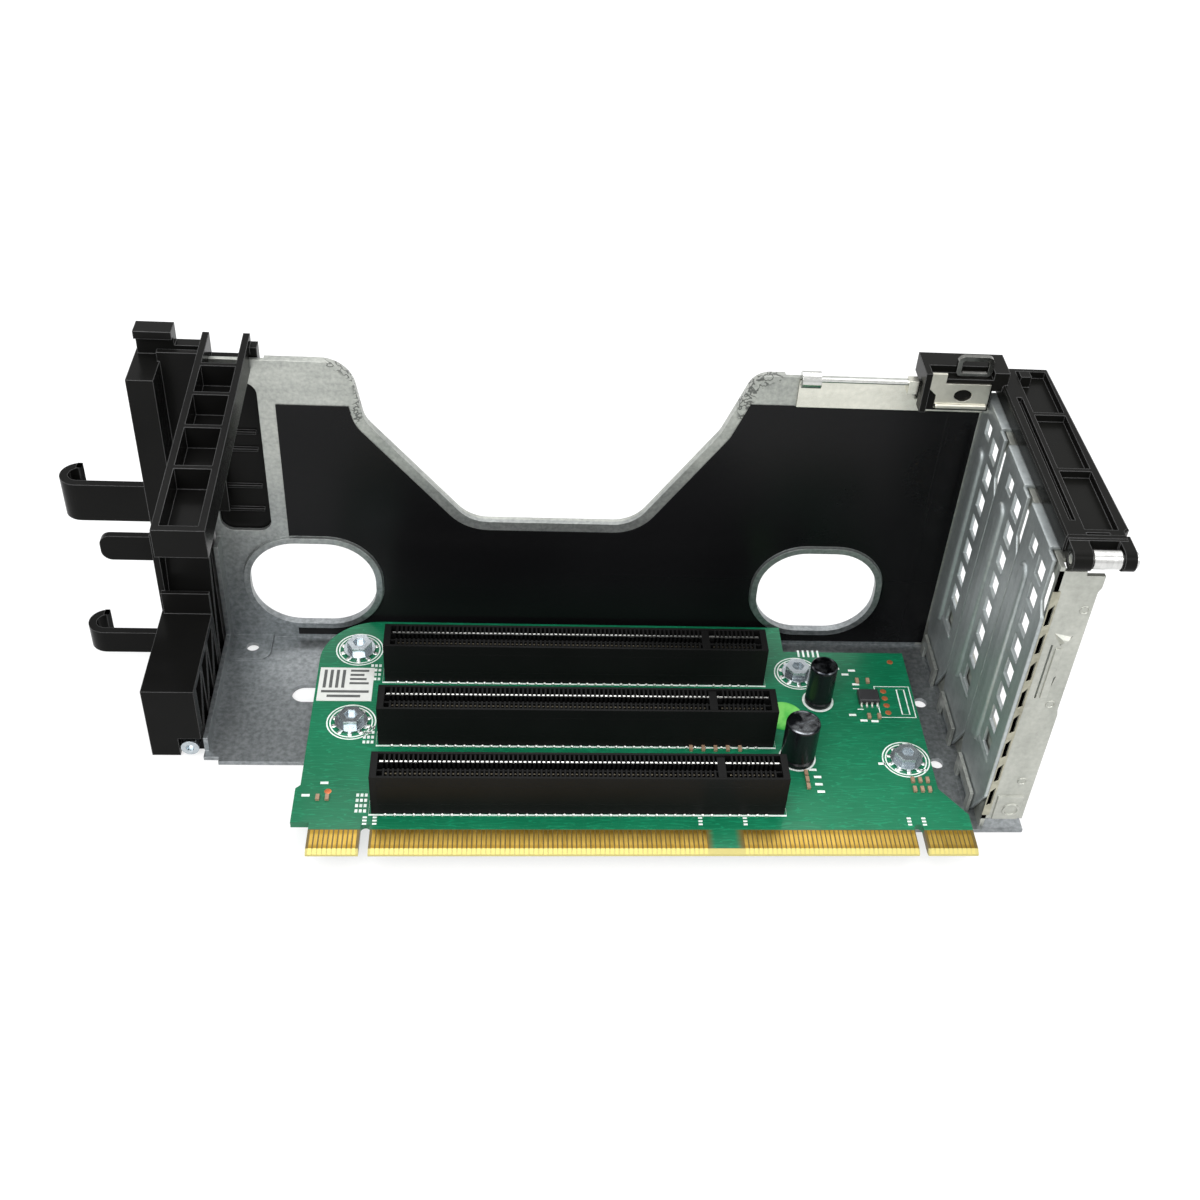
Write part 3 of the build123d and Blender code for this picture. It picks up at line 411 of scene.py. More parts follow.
for row in range(3):
    for i in range(4):
        for j in range(3):
            mark(-3.2 + j * 0.9, row * 20.32 - 3.0 + i * 1.5, 0.6, 0.9)
for x in (19, 21, 23.5, 26.2, 28.5, 31.5, 34, 36.5, 39, 40.5, 43):
    mark(x, 6.8, 1.1, 0.5)
for x in (70.4, 80.2, -1.2, 0.9, 116.6, 119.9):
    for i in range(3):
        mark(x, -6.6 + i * 0.9, 0.9, 0.5)
for i in range(5):
    mark(99.0 + i * 1.2, 48.2, 0.5, 2.4)
for x, y in (
        (96, 12), (97.2, 9.6), (98, 7.4), (98, 5.2), (98.2, 3.0), (113.5, 11.6), (120.2, 17.8),
        (107.5, 43.0), (109.5, 41.0), (111.3, 42.4), (111.6, 37.6), (109.2, 27.2), (111.6, 25.4),
        (114.2, 25.2), (117.0, 9.8), (119.4, 9.9), (122.6, 9.6), (-10.6, 5.0), (-14.2, 1.4)):
    mark(x, y, 1.7, 0.7)
print_shapes("ink_marks", marks, white_ink)


# Solder points: a row of tinned pins in front of each slot, tinned pads and plates round the
# board screws, and bare copper dots at two corners and in the pin header's outline.
def domes(name, places, radius, height, material, sides=10):
    """Low rounded dots on the board at places in metres."""
    points, faces = [], []
    for x, y in places:
        start = len(points)
        for level, share in ((0.0, 1.0), (0.6, 0.8), (1.0, 0.35)):
            points += [(px, py, board_top + level * height)
                       for px, py in circle(x, y, radius * share, sides)]
        for first in (start, start + sides):
            for i in range(sides):
                a, b = first + i, first + (i + 1) % sides
                faces.append((a, b, b + sides, a + sides))
        faces.append([start + 2 * sides + i for i in range(sides)])
    return build(name, points, faces, material)


tin = Finish("solder_tin_and_highlight", metallic=1.0)
tin_noise = tin.place.noise(1500.0, 2.0)
tin_color = tin_noise.mix(rgb(205, 206, 202), rgb(246, 246, 242))
solder_tin_and_highlight = tin.set(tin_color, 0.22 + tin_noise * 0.2, tin_noise, 0.03)
copper = Finish("bare_copper", metallic=0.6)
copper_noise = copper.place.noise(900.0, 2.0)
copper_color = copper_noise.mix(rgb(170, 84, 44), rgb(214, 128, 84))
bare_copper = copper.set(copper_color, 0.4, copper_noise, 0.02)
key_position = 75
pin_radius, pin_height = 0.42 * MM, 0.5 * MM
pad_ring, pad_radius, pad_height = 4.0 * MM, 0.55 * MM, 0.14 * MM
plate_radius, dot_radius, flat_height = 3.7 * MM, 0.75 * MM, 0.05 * MM
pins = [
    (slot_left + x * MM, y - 4.05 * MM)
    for y in slot_ys for x in range(3, 87, 2) if x != key_position
]
domes("slot_pins", pins, pin_radius, pin_height, solder_tin_and_highlight)
pads = []
for x, y in screw_places:
    pads += circle(x, y, pad_ring, 10, 18.0)
domes("screw_pads", pads, pad_radius, pad_height, solder_tin_and_highlight)
domes("screw_plates", screw_places, plate_radius, flat_height, solder_tin_and_highlight, 32)
dots = [(slot_left + x * MM, slot_ys[0] + y * MM) for x, y in ((-9.6, 2.6), (121.4, 45.6))]
dots += [(header_x - 2.2 * MM, header_y + y * MM) for y in (-3.6, -1.2, 1.2, 3.6)]
domes("copper_dots", dots, dot_radius, flat_height, bare_copper, 16)


# Card slots: black moulded housings soldered to the board. Each has a row of contact cells on
# both sides of a long groove, thin walls between the cells, and a key across the groove.
def boxes(name, spans, material):
    """Joins blocks, each given by its X, Y and Z spans in metres, into one mesh."""
    points, faces = [], []
    for (x0, x1), (y0, y1), (z0, z1) in spans:
        n = len(points)
        points += [(x0, y0, z0), (x1, y0, z0), (x1, y1, z0), (x0, y1, z0),
                   (x0, y0, z1), (x1, y0, z1), (x1, y1, z1), (x0, y1, z1)]
        faces += [(n, n + 3, n + 2, n + 1), (n + 4, n + 5, n + 6, n + 7),
                  (n, n + 1, n + 5, n + 4), (n + 1, n + 2, n + 6, n + 5),
                  (n + 2, n + 3, n + 7, n + 6), (n + 3, n, n + 4, n + 7)]
    return build(name, points, faces, material)


def detailed_slot(node, y):
    """A housing with open contact cells, in place of the plain one, with a painted highlight strip
    along the groove's rear edge.
    """
    low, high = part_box(node)
    wall, groove, end, rim = 0.55 * MM, 0.95 * MM, 1.5 * MM, 0.35 * MM
    cell_floor, groove_floor = high.z - 2.6 * MM, high.z - 8.2 * MM
    key, key_half = high.x - 14.5 * MM, 0.9 * MM
    whole_y, inner_y = (low.y, high.y), (low.y + wall, high.y - wall)
    inner_x = (low.x + end, high.x - end)
    front_cells, rear_cells = (low.y + wall, y - groove), (y + groove, high.y - wall)
    spans = [
        ((low.x, high.x), whole_y, (low.z, groove_floor)),
        ((low.x, low.x + end), whole_y, (groove_floor, high.z)),
        ((high.x - end, high.x), whole_y, (groove_floor, high.z)),
        (inner_x, (low.y, y - groove), (groove_floor, cell_floor)),
        (inner_x, (y + groove, high.y), (groove_floor, cell_floor)),
        (inner_x, (low.y, low.y + wall), (cell_floor, high.z)),
        (inner_x, (high.y - wall, high.y), (cell_floor, high.z)),
        ((key - key_half, key + key_half), inner_y, (groove_floor, high.z - 0.4 * MM)),
    ]
    rib_half, spring_half, rib_count = 0.22 * MM, 0.2 * MM, 84
    ribs = [low.x + 2.9 * MM + i * MM for i in range(rib_count)]
    for x in ribs:
        if abs(x - key) >= 1.5 * MM:
            for cells in (front_cells, rear_cells):
                height = (cell_floor, high.z - 0.15 * MM)
                spans.append(((x - rib_half, x + rib_half), cells, height))
    for across in ((y - groove - rim, y - groove), (y + groove, y + groove + rim)):
        spans.append((inner_x, across, (cell_floor, high.z - 0.5 * MM)))
    made = boxes(node + "_cells", spans, slot_plastic)
    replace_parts(made, node)
    springs = []
    for x in [rib + 0.5 * MM for rib in ribs[:-1]]:
        if abs(x - key) >= 1.5 * MM:
            for across in ((y - 1.9 * MM, y - 1.5 * MM), (y + 1.5 * MM, y + 1.9 * MM)):
                height = (cell_floor, high.z - 0.9 * MM)
                springs.append(((x - spring_half, x + spring_half), across, height))
    boxes(node + "_contacts", springs, contact_tips)
    # A bright tinned strip along the rear edge of the groove is a painted highlight, where the
    # groove's chamfer catches the light.
    highlight_y = (y + groove - 0.02 * MM, y + groove + 0.38 * MM)
    highlight_z = (high.z - 0.5 * MM, high.z - 0.18 * MM)
    left_highlight = (inner_x[0] + 0.4 * MM, key - key_half)
    right_highlight = (key + key_half, inner_x[1] - 0.4 * MM)
    highlight_strips = [(left_highlight, highlight_y, highlight_z), (right_highlight, highlight_y, highlight_z)]
    boxes(node + "_painted_highlight", highlight_strips, solder_tin_and_highlight)


plastic = Finish("slot_plastic", specular=0.08, edge=0.15)
fine = plastic.place.noise(1800.0, 2.0)
soft = plastic.place.noise(60.0, 2.0)
plastic_color = soft.mix(rgb(14, 14, 14), rgb(21, 21, 21))
slot_plastic = plastic.set(plastic_color, 0.34 + soft * 0.12, fine, 0.03, 0.25)
tips = Finish("contact_tips", metallic=1.0)
tip_noise = tips.place.noise(1200.0, 2.0)
tip_color = tip_noise.mix(rgb(58, 54, 46), rgb(104, 98, 84))
contact_tips = tips.set(tip_color, 0.35 + tip_noise * 0.1, tip_noise, 0.02)
for number, y in enumerate(reversed(slot_ys)):
    detailed_slot(f"card_slot_{number + 1}", y)


# Board screws, the guide's screw and the standoffs: zinc-plated steel with a slight blue cast,
# turned and pressed, and screwed through the board into the base.
screw_steel = sheet_steel("screw_steel", rgb(150, 158, 164), rgb(206, 214, 218), 0.2)
dress(screw_steel, "screw_steel", "board_screws", "guide_screw")
dress(screw_steel, "standoff_steel", "standoffs")


# Memory chip: a moulded body of black epoxy, with four tinned leads at each of its two long
# sides, soldered to the board.
chip = Finish("chip_plastic")
chip_noise = chip.place.noise(1500.0, 2.0)
chip_middle = (chip_low.y + chip_high.y) / 2
leads = (chip.place.axis("Y") - chip_middle).math("ABSOLUTE").past(1.98 * MM, 0.04 * MM)
chip.feed("Metallic", leads)
chip_color = leads.mix(rgb(40, 40, 42), rgb(225, 225, 220))
chip_plastic = chip.set(chip_color, 0.38 + chip_noise * 0.1, chip_noise, 0.03)
dress(chip_plastic, "chip_plastic", "memory_chip")


# Small surface parts: resistors and capacitors with brown fired bodies, laid on the board by
# machine and soldered.
small = Finish("ceramic")
small_noise = small.place.noise(700.0, 2.0)
small_color = small_noise.mix(rgb(120, 88, 66), rgb(176, 150, 124))
ceramic = small.set(small_color, 0.45, small_noise, 0.02)
dress(ceramic, "ceramic", "surface_parts")


# Paper label and round sticker: both are matt stock, stuck to the board. The label's code and
# words are replaced by plain grey dashes, and the mottled green sticker is bare.
label = Finish("label_paper")
label_noise = label.place.noise(500.0)
label_color = label_noise.mix(rgb(206, 208, 203), rgb(222, 223, 219))
label_paper = label.set(label_color, 0.6, label_noise, 0.02)
dress(label_paper, "label_paper", "board_label")
grey = Finish("grey_ink")
grey_noise = grey.place.noise(900.0, 2.0)
grey_ink = grey.set(grey_noise.mix(rgb(66, 68, 68), rgb(98, 100, 98)), 0.5, grey_noise, 0.02)
label_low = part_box("board_label")[0]
dashes = []
for x, y, width, height in (
        (7.0, 9.6, 4.2, 0.7), (7.0, 8.2, 3.2, 0.7), (7.0, 6.8, 3.8, 0.7), (7.0, 5.4, 4.4, 0.7),
        (0.8, 2.6, 10.8, 0.8), (2.2, 1.1, 7.6, 0.8), (1.0, 4.2, 0.7, 6.0), (2.4, 4.2, 0.7, 6.0),
        (3.8, 4.2, 0.7, 6.0), (5.2, 4.2, 0.7, 6.0)):
    half_x, half_y = width * MM / 2, height * MM / 2
    middle_x, middle_y = label_low.x + x * MM + half_x, label_low.y + y * MM + half_y
    dashes.append(rectangle(middle_x, middle_y, half_x, half_y))
print_shapes("label_dashes", dashes, grey_ink, 0.19 * MM)
sticker = Finish("sticker_film")
sticker_noise = sticker.place.noise(220.0)
sticker_color = sticker_noise.step(0.35, 0.65).mix(rgb(40, 168, 52), rgb(120, 206, 96))
sticker_film = sticker.set(sticker_color, 0.5, sticker_noise, 0.02)
dress(sticker_film, "sticker_film", "round_sticker")


# Slot covers: pressed from dark rolled sheet, with a tapered foot in the base's receiver, a row
# of square vents, a long bead, and a tab at the top that lies on the panel's shelf.
def rounded_loop(low, high, radius, inset=0.0, steps=6):
    """Gives the points of a rectangle with round corners, drawn inwards by an inset."""
    (u0, v0), (u1, v1) = low, high
    bend = max(radius - inset, 0.02)
    loop = []
    for turn, (u, v) in enumerate(((u1, v1), (u0, v1), (u0, v0), (u1, v0))):
        middle_u = u - radius if u == u1 else u + radius
        middle_v = v - radius if v == v1 else v + radius
        loop += circle(middle_u, middle_v, bend, steps, 90.0 * turn, 90.0)
    return loop


class Shape:
    """Points and faces of one piece, in millimetres, made from plates, blocks and ridges."""

    def __init__(self):
        self.points, self.faces = [], []

    def add(self, points, faces):
        """Adds points, and faces that number them from 0."""
        start = len(self.points)
        self.points += points
        self.faces += [tuple(start + i for i in face) for face in faces]

    def plate(self, loops, thickness, place):
        """A flat sheet from an outline and its holes, set where the place function says."""
        curve = bpy.data.curves.new("outline", "CURVE")
        curve.dimensions, curve.fill_mode, curve.extrude = "2D", "BOTH", thickness / 2
        for loop in loops:
            spline = curve.splines.new("POLY")
            spline.points.add(len(loop) - 1)
            for point, (u, v) in zip(spline.points, loop):
                point.co = (u, v, 0.0, 1.0)
            spline.use_cyclic_u = True
        carrier = bpy.data.objects.new("outline", curve)
        filled = bpy.data.meshes.new_from_object(carrier)
        faces = [tuple(face.vertices) for face in filled.polygons]
        self.add([place(*vertex.co) for vertex in filled.vertices], faces)
        bpy.data.objects.remove(carrier)
        bpy.data.curves.remove(curve)
        bpy.data.meshes.remove(filled)

    def block(self, x, y, z):
        """A box from its three spans."""
        corners = [(x[i], y[j], z[k]) for k in (0, 1) for j in (0, 1) for i in (0, 1)]
        sides = [(0, 2, 3, 1), (4, 5, 7, 6), (0, 1, 5, 4), (1, 3, 7, 5), (3, 2, 6, 7), (2, 0, 4, 6)]
        self.add(corners, sides)

    def ridge(self, rings, place):
        """A raised or sunk form from loops of equal count, each with its height."""
        count = len(rings[0][0])
        points = [place(u, v, height) for loop, height in rings for u, v in loop]
        faces = []
        for first in range(0, (len(rings) - 1) * count, count):
            for i in range(count):
                a, b = first + i, first + (i + 1) % count
                faces.append((a, b, b + count, a + count))
        last = len(points) - count
        faces += [tuple(range(last, last + count)), tuple(range(count - 1, -1, -1))]
        self.add(points, faces)

    def make(self, name, material, body="cage"):
        """Joins the points that meet, turns the faces outwards and builds the piece."""
        points = [Vector(point) * MM for point in self.points]
        made = build(name, points, self.faces, material, body)
        work = bmesh.new()
        work.from_mesh(made.data)
        bmesh.ops.remove_doubles(work, verts=work.verts, dist=0.001 * MM)
        bmesh.ops.recalc_face_normals(work, faces=work.faces)
        work.to_mesh(made.data)
        work.free()
        return made


def on_cover(u, v, w):
    """A place on the covers' inner face, raised into the cage by w."""
    return (cover_x - w, u, v)


cover_steel = sheet_steel(
    "cover_steel", rgb(140, 146, 147), rgb(188, 194, 194), 0.38, (1.0, 1.0, 0.15), 0.75, 0.6)
cover_low, cover_high = [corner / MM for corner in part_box("slot_cover_1")]
cover_x, cover_sheet = cover_low.x, 0.8
shelf_z = cover_high.z - cover_sheet
cover_ys = []
for number in (1, 2, 3):
    low, high = [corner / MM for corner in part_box(f"slot_cover_{number}")]
    y = (low.y + high.y) / 2
    cover_ys.append(y)
    front, rear, foot, notch = y - 11.2, y + 8.7, 5.8, y - 8.7
    outline = [
        (y - foot, low.z), (y + foot, low.z), (rear, low.z + 8.0), (rear, shelf_z),
        (notch, shelf_z), (notch, shelf_z - 10.0), (front, shelf_z - 13.0), (front, low.z + 10.0),
    ]
    vent_y, first_vent_z, vent_pitch = y - 4.4, shelf_z - 6.2, 6.93
    vents = [rectangle(vent_y, first_vent_z - i * vent_pitch, 2.4, 2.4) for i in range(8)]
    vents.append(rectangle(y + 2.0, shelf_z - 4.9, 2.0, 2.0))
    cover = Shape()
    cover.plate([outline] + vents, cover_sheet, lambda u, v, w: (cover_x + 0.4 + w, u, v))
    cover.block((cover_x, high.x), (y - 5.5, rear), (shelf_z, shelf_z + cover_sheet))
    bead = [
        (rounded_loop((y + 0.7, 15.8), (y + 5.0, shelf_z - 10.3), 2.1, inset), rise)
        for inset, rise in ((0.0, -0.05), (0.15, 0.4), (0.5, 0.62), (1.0, 0.7))
    ]
    cover.ridge(bead, on_cover)
    line = [
        (rounded_loop((y - 7.5, 17.6), (y + 0.7, 18.8), 0.5, inset, 3), rise)
        for inset, rise in ((0.0, -0.05), (0.15, 0.2), (0.4, 0.25))
    ]
    cover.ridge(line, on_cover)
    made = cover.make(f"vented_cover_{number}", cover_steel)
    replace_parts(made, f"slot_cover_{number}")


# Finger strips: bright spring steel, slotted and bent, clipped between the covers and along the
# end panel's front edge, where they touch the covers.
gasket_steel = sheet_steel("gasket_steel", rgb(120, 118, 104), rgb(190, 188, 170), 0.3)
flange_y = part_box("contact_gaskets")[0].y / MM
strip_sheet, finger_pitch = 0.2, 7.6
finger_rises = [i * finger_pitch for i in range(8)]
strips = Shape()
for y in (cover_ys[1] + 8.9, cover_ys[2] + 8.9):
    slots = [rounded_loop((y - 0.6, 9.0 + z), (y + 0.6, 13.6 + z), 0.3) for z in finger_rises]
    strips.plate([rounded_loop((y - 1.1, 7.0), (y + 1.1, 70.0), 0.2)] + slots, strip_sheet,
                 lambda u, v, w: (cover_x + 0.95 + w, u, v))
fingers = [
    [(81.9, 8.2 + z), (82.9, 8.8 + z), (82.9, 14.0 + z), (81.9, 12.6 + z)] for z in finger_rises
]
strips.plate([rounded_loop((81.6, 5.0), (83.3, 70.5), 0.2)] + fingers, strip_sheet,
             lambda u, v, w: (u, flange_y - 0.15 + w, v))
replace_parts(strips.make("finger_strips", gasket_steel), "contact_gaskets")


# End panel: pale coated steel behind the covers, folded from one sheet. It has a window behind
# each cover, a shelf at the top, a foot at the base, and a front flange with pressed marks,
# lances and rings.
def on_flange(u, v, w):
    """A place on the front flange, raised forwards by w."""
    return (u, flange_y - w, v)


def pressed_ring(x, z, radius, rise):
    """A pressed ring with a sunk middle on the flange."""
    shares = ((1.0, -0.05), (0.9, rise), (0.72, rise), (0.6, 0.03))
    panel.ridge([(circle(x, z, radius * share, 28), height) for share, height in shares], on_flange)


panel_steel = sheet_steel(
    "panel_steel", rgb(146, 148, 141), rgb(188, 189, 181), 0.36, (1.0, 1.0, 0.3), 0.8)
panel_low, panel_high = [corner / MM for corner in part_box("end_panel")]
panel_x, panel_sheet = panel_low.x, 1.0
inner_x = panel_x + panel_sheet
foot_z, panel_rear = 1.0, 29.2
panel_outline = [
    (flange_y, foot_z), (panel_rear, foot_z), (panel_rear, shelf_z), (flange_y, shelf_z)]
windows = [rounded_loop((y - 9.6, 24.5), (y + 7.3, shelf_z - 3.4), 1.0) for y in cover_ys]
flange_outline = [
    (81.8, 3.6), (91.2, 3.6), (91.2, 36.5), (90.85, 38.0), (90.85, 70.4), (91.4, 71.6),
    (91.4, 74.5), (87.5, 74.5), (87.4, 75.6), (81.8, 75.6),
]
lance_slot = [(88.8, 58.9), (88.6, 58.2), (86.8, 56.1), (86.6, 56.6)]
small_lance = [(88.1, 47.7), (87.7, 44.8), (86.5, 45.4)]
long_slit = [(84.9, 41.3), (85.3, 41.3), (85.3, 56.3), (84.9, 56.3)]
panel = Shape()
panel.plate([panel_outline] + windows, panel_sheet, lambda u, v, w: (panel_x + 0.5 + w, u, v))
panel.block((inner_x, panel_high.x), (-28.4, panel_rear), (shelf_z - panel_sheet, shelf_z))
panel.block((inner_x, panel_x + 5.0), (-23.2, -15.2), (foot_z, foot_z + panel_sheet))
panel.plate([flange_outline, lance_slot, small_lance, long_slit], panel_sheet,
            lambda u, v, w: (u, flange_y + 0.5 + w, v))
lance_tip = Vector((87.6, 57.6))
lance_base = [Vector(corner) for corner in ((84.4, 59.8), (86.6, 56.4), (88.7, 58.8))]
lance = [
    ([lance_tip.lerp(corner, share) for corner in lance_base], rise)
    for share, rise in ((1.0, -0.05), (0.3, 0.7), (0.1, 0.72))
]
panel.ridge(lance, on_flange)
pressed = ((0.0, -0.05), (0.1, 0.35), (0.25, 0.42))
for low, high, radius in (((85.9, 41.4), (87.6, 55.6), 0.4), ((84.0, 3.7), (90.0, 11.2), 0.3)):
    panel.ridge([(rounded_loop(low, high, radius, i), rise) for i, rise in pressed], on_flange)
for x, z in ((89.4, 65.7), (88.9, 39.6), (88.4, 15.9)):
    pressed_ring(x, z, 1.1, 0.25)
pressed_ring(87.7, 7.0, 2.1, 0.75)
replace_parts(panel.make("front_panel", panel_steel), "end_panel")


# Electrolytic cans: aluminium in a black glossy sleeve that stops short of the top, with a
# groove above the rubber seal and a scored cross on the bare metal top.
def turned_can(node, radius):
    """A turned can in place of the plain one, on the same middle."""
    low, high = [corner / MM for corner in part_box(node)]
    middle = Vector(((low.x + high.x) / 2, (low.y + high.y) / 2))
    groove, hollow = can_height - 0.6, can_height - 0.15
    profile = [
        (0.94, 0.0), (1.0, 0.2), (1.0, 1.1), (0.92, 1.5), (0.92, 1.9), (1.0, 2.3), (1.0, groove),
        (0.97, can_height - 0.2), (0.9, can_height), (0.86, can_height), (0.84, hollow),
        (0.1, hollow),
    ]
    made = Shape()
    made.ridge([(circle(middle.x, middle.y, radius * share, 48), low.z + z)
                for share, z in profile], lambda u, v, w: (u, v, w))
    for turn in (0.35, 0.35 + math.pi / 2):
        along = Vector((math.cos(turn), math.sin(turn)))
        side = Vector((-along.y, along.x))
        score = [middle + along * a + side * b for a, b in rectangle(0, 0, radius * 0.7, 0.14)]
        made.ridge([(score, low.z + can_height - 0.2), (score, low.z + can_height - 0.08)],
                   lambda u, v, w: (u, v, w))
    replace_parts(made.make("turned_" + node, can_aluminium), node)


can_height = 11.6
can = Finish("can_aluminium", specular=0.3)
can_noise = can.place.noise(300.0, 2.0)
bare = can.place.axis("Z").past(board_top + 11.35 * MM)
# The bare aluminium top is painted dark grey with lighter mottled spots, as painted reflection and
# painted highlights.
top_painted_reflection = can_noise.step(0.4, 0.6).mix(rgb(34, 36, 40), rgb(132, 135, 139))
can.feed("Metallic", bare)
can_color = bare.mix(rgb(18, 19, 22), top_painted_reflection)
can_aluminium = can.set(can_color, 0.18 + can_noise * 0.12, can_noise, 0.02)
turned_can("capacitor_front", 3.9)
turned_can("capacitor_rear", 3.2)


# Hinge pin and sleeve: turned steel with fine rings. The pin has a riveted head at its right end
# and a chamfer at its left one, and the sleeve sits round it beside the latch.
pin_steel = sheet_steel(
    "pin_steel", rgb(176, 176, 174), rgb(226, 226, 224), 0.16, (3.0, 0.2, 0.2))
dress(pin_steel, "sleeve_steel", "hinge_sleeve")
pin_low, pin_high = [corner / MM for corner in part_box("hinge_pin")]
pin_middle = (pin_low + pin_high) / 2
shaft, head, head_x = 1.2, 1.65, 96.05
turned = [
    (83.2, 0.1), (83.2, 1.0), (83.4, shaft), (head_x, shaft), (head_x, head), (96.4, head),
    (pin_high.x, 1.4), (pin_high.x, 0.7), (96.3, 0.5),
]
pin = Shape()
pin.ridge([(circle(pin_middle.y, pin_middle.z, radius, 32), x) for x, radius in turned],
          lambda u, v, w: (w, u, v))
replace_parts(pin.make("turned_pin", pin_steel), "hinge_pin")


# Card latch: a black glass-filled moulding with a ribbed tray. A plated steel leaf with a lip
# and an oval bore, and a wire bail, are fixed to its hooked block and turn with it.
def moulding(name, dark, light, rough):
    """Black moulded plastic with fine grain, faint flow marks, and edges painted pale as
    highlights.
    """
    made = Finish(name, specular=0.05, edge=0.3)
    flow = made.place.noise(45.0)
    tooth = made.place.noise(2200.0, 2.0)
    # The edges are lightened towards grey as a painted highlight, where rounded edges would catch
    # the light.
    color = (made.edges() * (0.1 + flow * 0.7)).mix(flow.mix(dark, light), rgb(120, 120, 120))
    return made.set(color, rough + flow * 0.1, tooth + flow * 0.4, 0.03, 0.2)


latch_plastic = moulding("latch_plastic", rgb(12, 12, 12), rgb(22, 22, 20), 0.2)
dress(latch_plastic, "latch_plastic", "latch_arm")
leaf_steel = sheet_steel("leaf_steel", rgb(186, 184, 172), rgb(214, 212, 200), 0.26)
leaf_sheet, leaf_y = 0.6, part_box("latch_leaf")[1].y / MM
leaf_outline = [
    (67.9, 75.7), (79.8, 75.7), (79.8, 81.9), (69.6, 81.9), (69.6, 84.3), (66.3, 84.3),
    (66.3, 80.4), (67.9, 78.9),
]
bore = [(73.9 + u * 2.0, 79.0 + v * 1.5) for u, v in circle(0.0, 0.0, 1.0, 28)]
lip_rings = [
    (rounded_loop((67.9, 75.7), (79.8, 77.0), 0.5, inset), rise)
    for inset, rise in ((0.0, -0.05), (0.1, 0.5), (0.3, 0.7), (0.45, 0.75))
]
leaf = Shape()
leaf.plate([leaf_outline, bore], leaf_sheet,
           lambda u, v, w: (u, leaf_y - leaf_sheet / 2 + w, v))
leaf.ridge(lip_rings, lambda u, v, w: (u, leaf_y - leaf_sheet - w, v))
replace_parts(leaf.make("lipped_leaf", leaf_steel, "latch"), "latch_leaf")
bail_steel = sheet_steel("bail_steel", rgb(66, 66, 64), rgb(150, 150, 146), 0.16)
dress(bail_steel, "bail_steel", "latch_bail")


# Card guide: one black moulding, glossier on its flat faces, that a screw and the wall's window
# hold. The lower edge of its plate and the tips of its hooks are set where the real ones end.
plate_edge_z, plate_edge_up_z, wall_face_y = 25.6, 32.8, 30.0
hook_tip_x, tip_shift = -117.5, -1.5
guide_plastic = moulding("guide_plastic", rgb(11, 11, 11), rgb(22, 22, 21), 0.17)
guide_data = nodes["card_guide"].data.copy()
for vertex in guide_data.vertices:
    spot = vertex.co / MM
    if spot.y > wall_face_y and abs(spot.z - plate_edge_z) < 0.1:
        vertex.co.z = plate_edge_up_z * MM
    if abs(spot.x - hook_tip_x) < 0.1:
        vertex.co.x += tip_shift * MM
guide_data.materials.clear()
guide_data.materials.append(guide_plastic)
guide = bpy.data.objects.new("moulded_guide", guide_data)
bpy.context.scene.collection.objects.link(guide)
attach(guide, "cage")
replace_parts(guide, "card_guide")


# Stage: a pale matt floor and surround that the camera, gloss and glass see as white, so that
# the object's shadow stays, and three soft lamps at a plain level.
def seen_rays(shader):
    """Is 1 for rays from the camera and for those that gloss or glass passes on."""
    rays = [shader.node("ShaderNodeLightPath", {}, f"Is {kind} Ray")
            for kind in ("Camera", "Glossy", "Transmission")]
    return (rays[0] + rays[1] + rays[2]).step(0.0, 1.0)


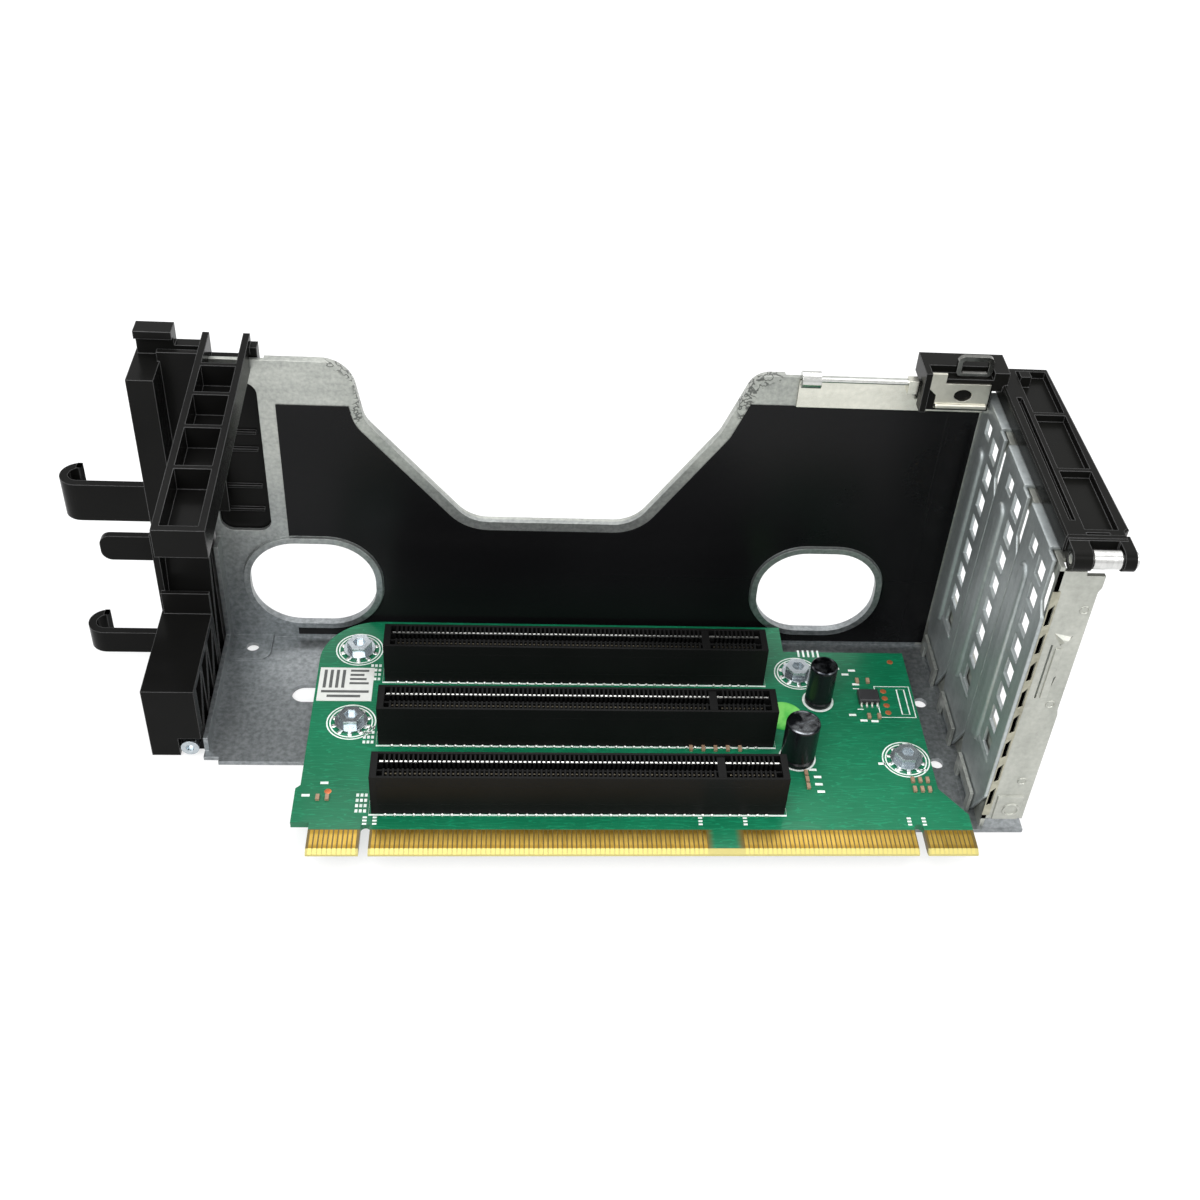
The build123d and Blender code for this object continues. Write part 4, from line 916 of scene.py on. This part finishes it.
def softbox(name, place, size, power):
    """A square soft light that faces the object."""
    data = bpy.data.lights.new(name, "AREA")
    data.size = size
    data.energy = power
    lamp = bpy.data.objects.new(name, data)
    bpy.context.scene.collection.objects.link(lamp)
    lamp.location = place
    towards = Vector((0, 0, 0.04)) - Vector(place)
    lamp.rotation_euler = towards.to_track_quat("-Z", "Y").to_euler()
    lamp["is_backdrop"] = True


paper = bpy.data.materials.new("paper")
paper.use_nodes = True
paper_shader = paper.node_tree.nodes["Principled BSDF"]
paper_shader.inputs["Base Color"].default_value = (0.85, 0.85, 0.85, 1)
paper_shader.inputs["Roughness"].default_value = 0.8
matt = Socket(paper_shader.outputs[0])
glow = matt.node("ShaderNodeEmission", {"Color": (1, 1, 1, 1), "Strength": 1.15})
glowing = matt.node("ShaderNodeMixShader", {0: seen_rays(matt) * 0.6, 1: matt, 2: glow})
glowing.plug(paper.node_tree.nodes["Material Output"].inputs[0], glowing)
floor_data = bpy.data.meshes.new("floor")
floor_data.from_pydata([(-3, -3, 0), (3, -3, 0), (3, 3, 0), (-3, 3, 0)], [], [(0, 1, 2, 3)])
floor_data.materials.append(paper)
floor = bpy.data.objects.new("floor", floor_data)
bpy.context.scene.collection.objects.link(floor)
floor.location.z = -0.2 * MM
floor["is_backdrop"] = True

world = bpy.data.worlds.new("surround")
bpy.context.scene.world = world
world.use_nodes = True
ambient = world.node_tree.nodes["Background"]
ambient.inputs["Color"].default_value = (0.96, 0.98, 1.0, 1)
ambient.inputs["Strength"].default_value = 0.55
dim = Socket(ambient.outputs[0])
white = dim.node("ShaderNodeBackground", {"Color": (1, 1, 1, 1)})
surround = dim.node("ShaderNodeMixShader", {0: seen_rays(dim), 1: dim, 2: white})
surround.plug(world.node_tree.nodes["World Output"].inputs[0], surround)

softbox("key", (-0.35, -0.65, 0.75), 0.7, 8.0)
softbox("side", (0.65, -0.45, 0.55), 0.6, 4.0)
softbox("overhead", (0.0, 0.25, 0.95), 0.9, 7.0)


# Camera: stands where the photograph was taken from, solved from the slots' length and pitch,
# with the lens and the shift that give the photograph's frame.
camera_data = bpy.data.cameras.new("camera")
camera_data.sensor_width = 36.0
camera_data.lens = 45.836
camera_data.shift_x = -0.0573
camera_data.shift_y = 0.0087
camera_data.clip_start = 0.01
camera = bpy.data.objects.new("camera", camera_data)
bpy.context.scene.collection.objects.link(camera)
turn = Matrix((
    (0.99462625, -0.01579557, -0.10231876),
    (-0.06677664, 0.65736507, -0.75060779),
    (0.07911706, 0.75340671, 0.65277777),
)).to_4x4()
camera.matrix_world = Matrix.Translation((-0.023745, -0.253330, 0.257137)) @ turn
bpy.context.scene.camera = camera

low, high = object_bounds()
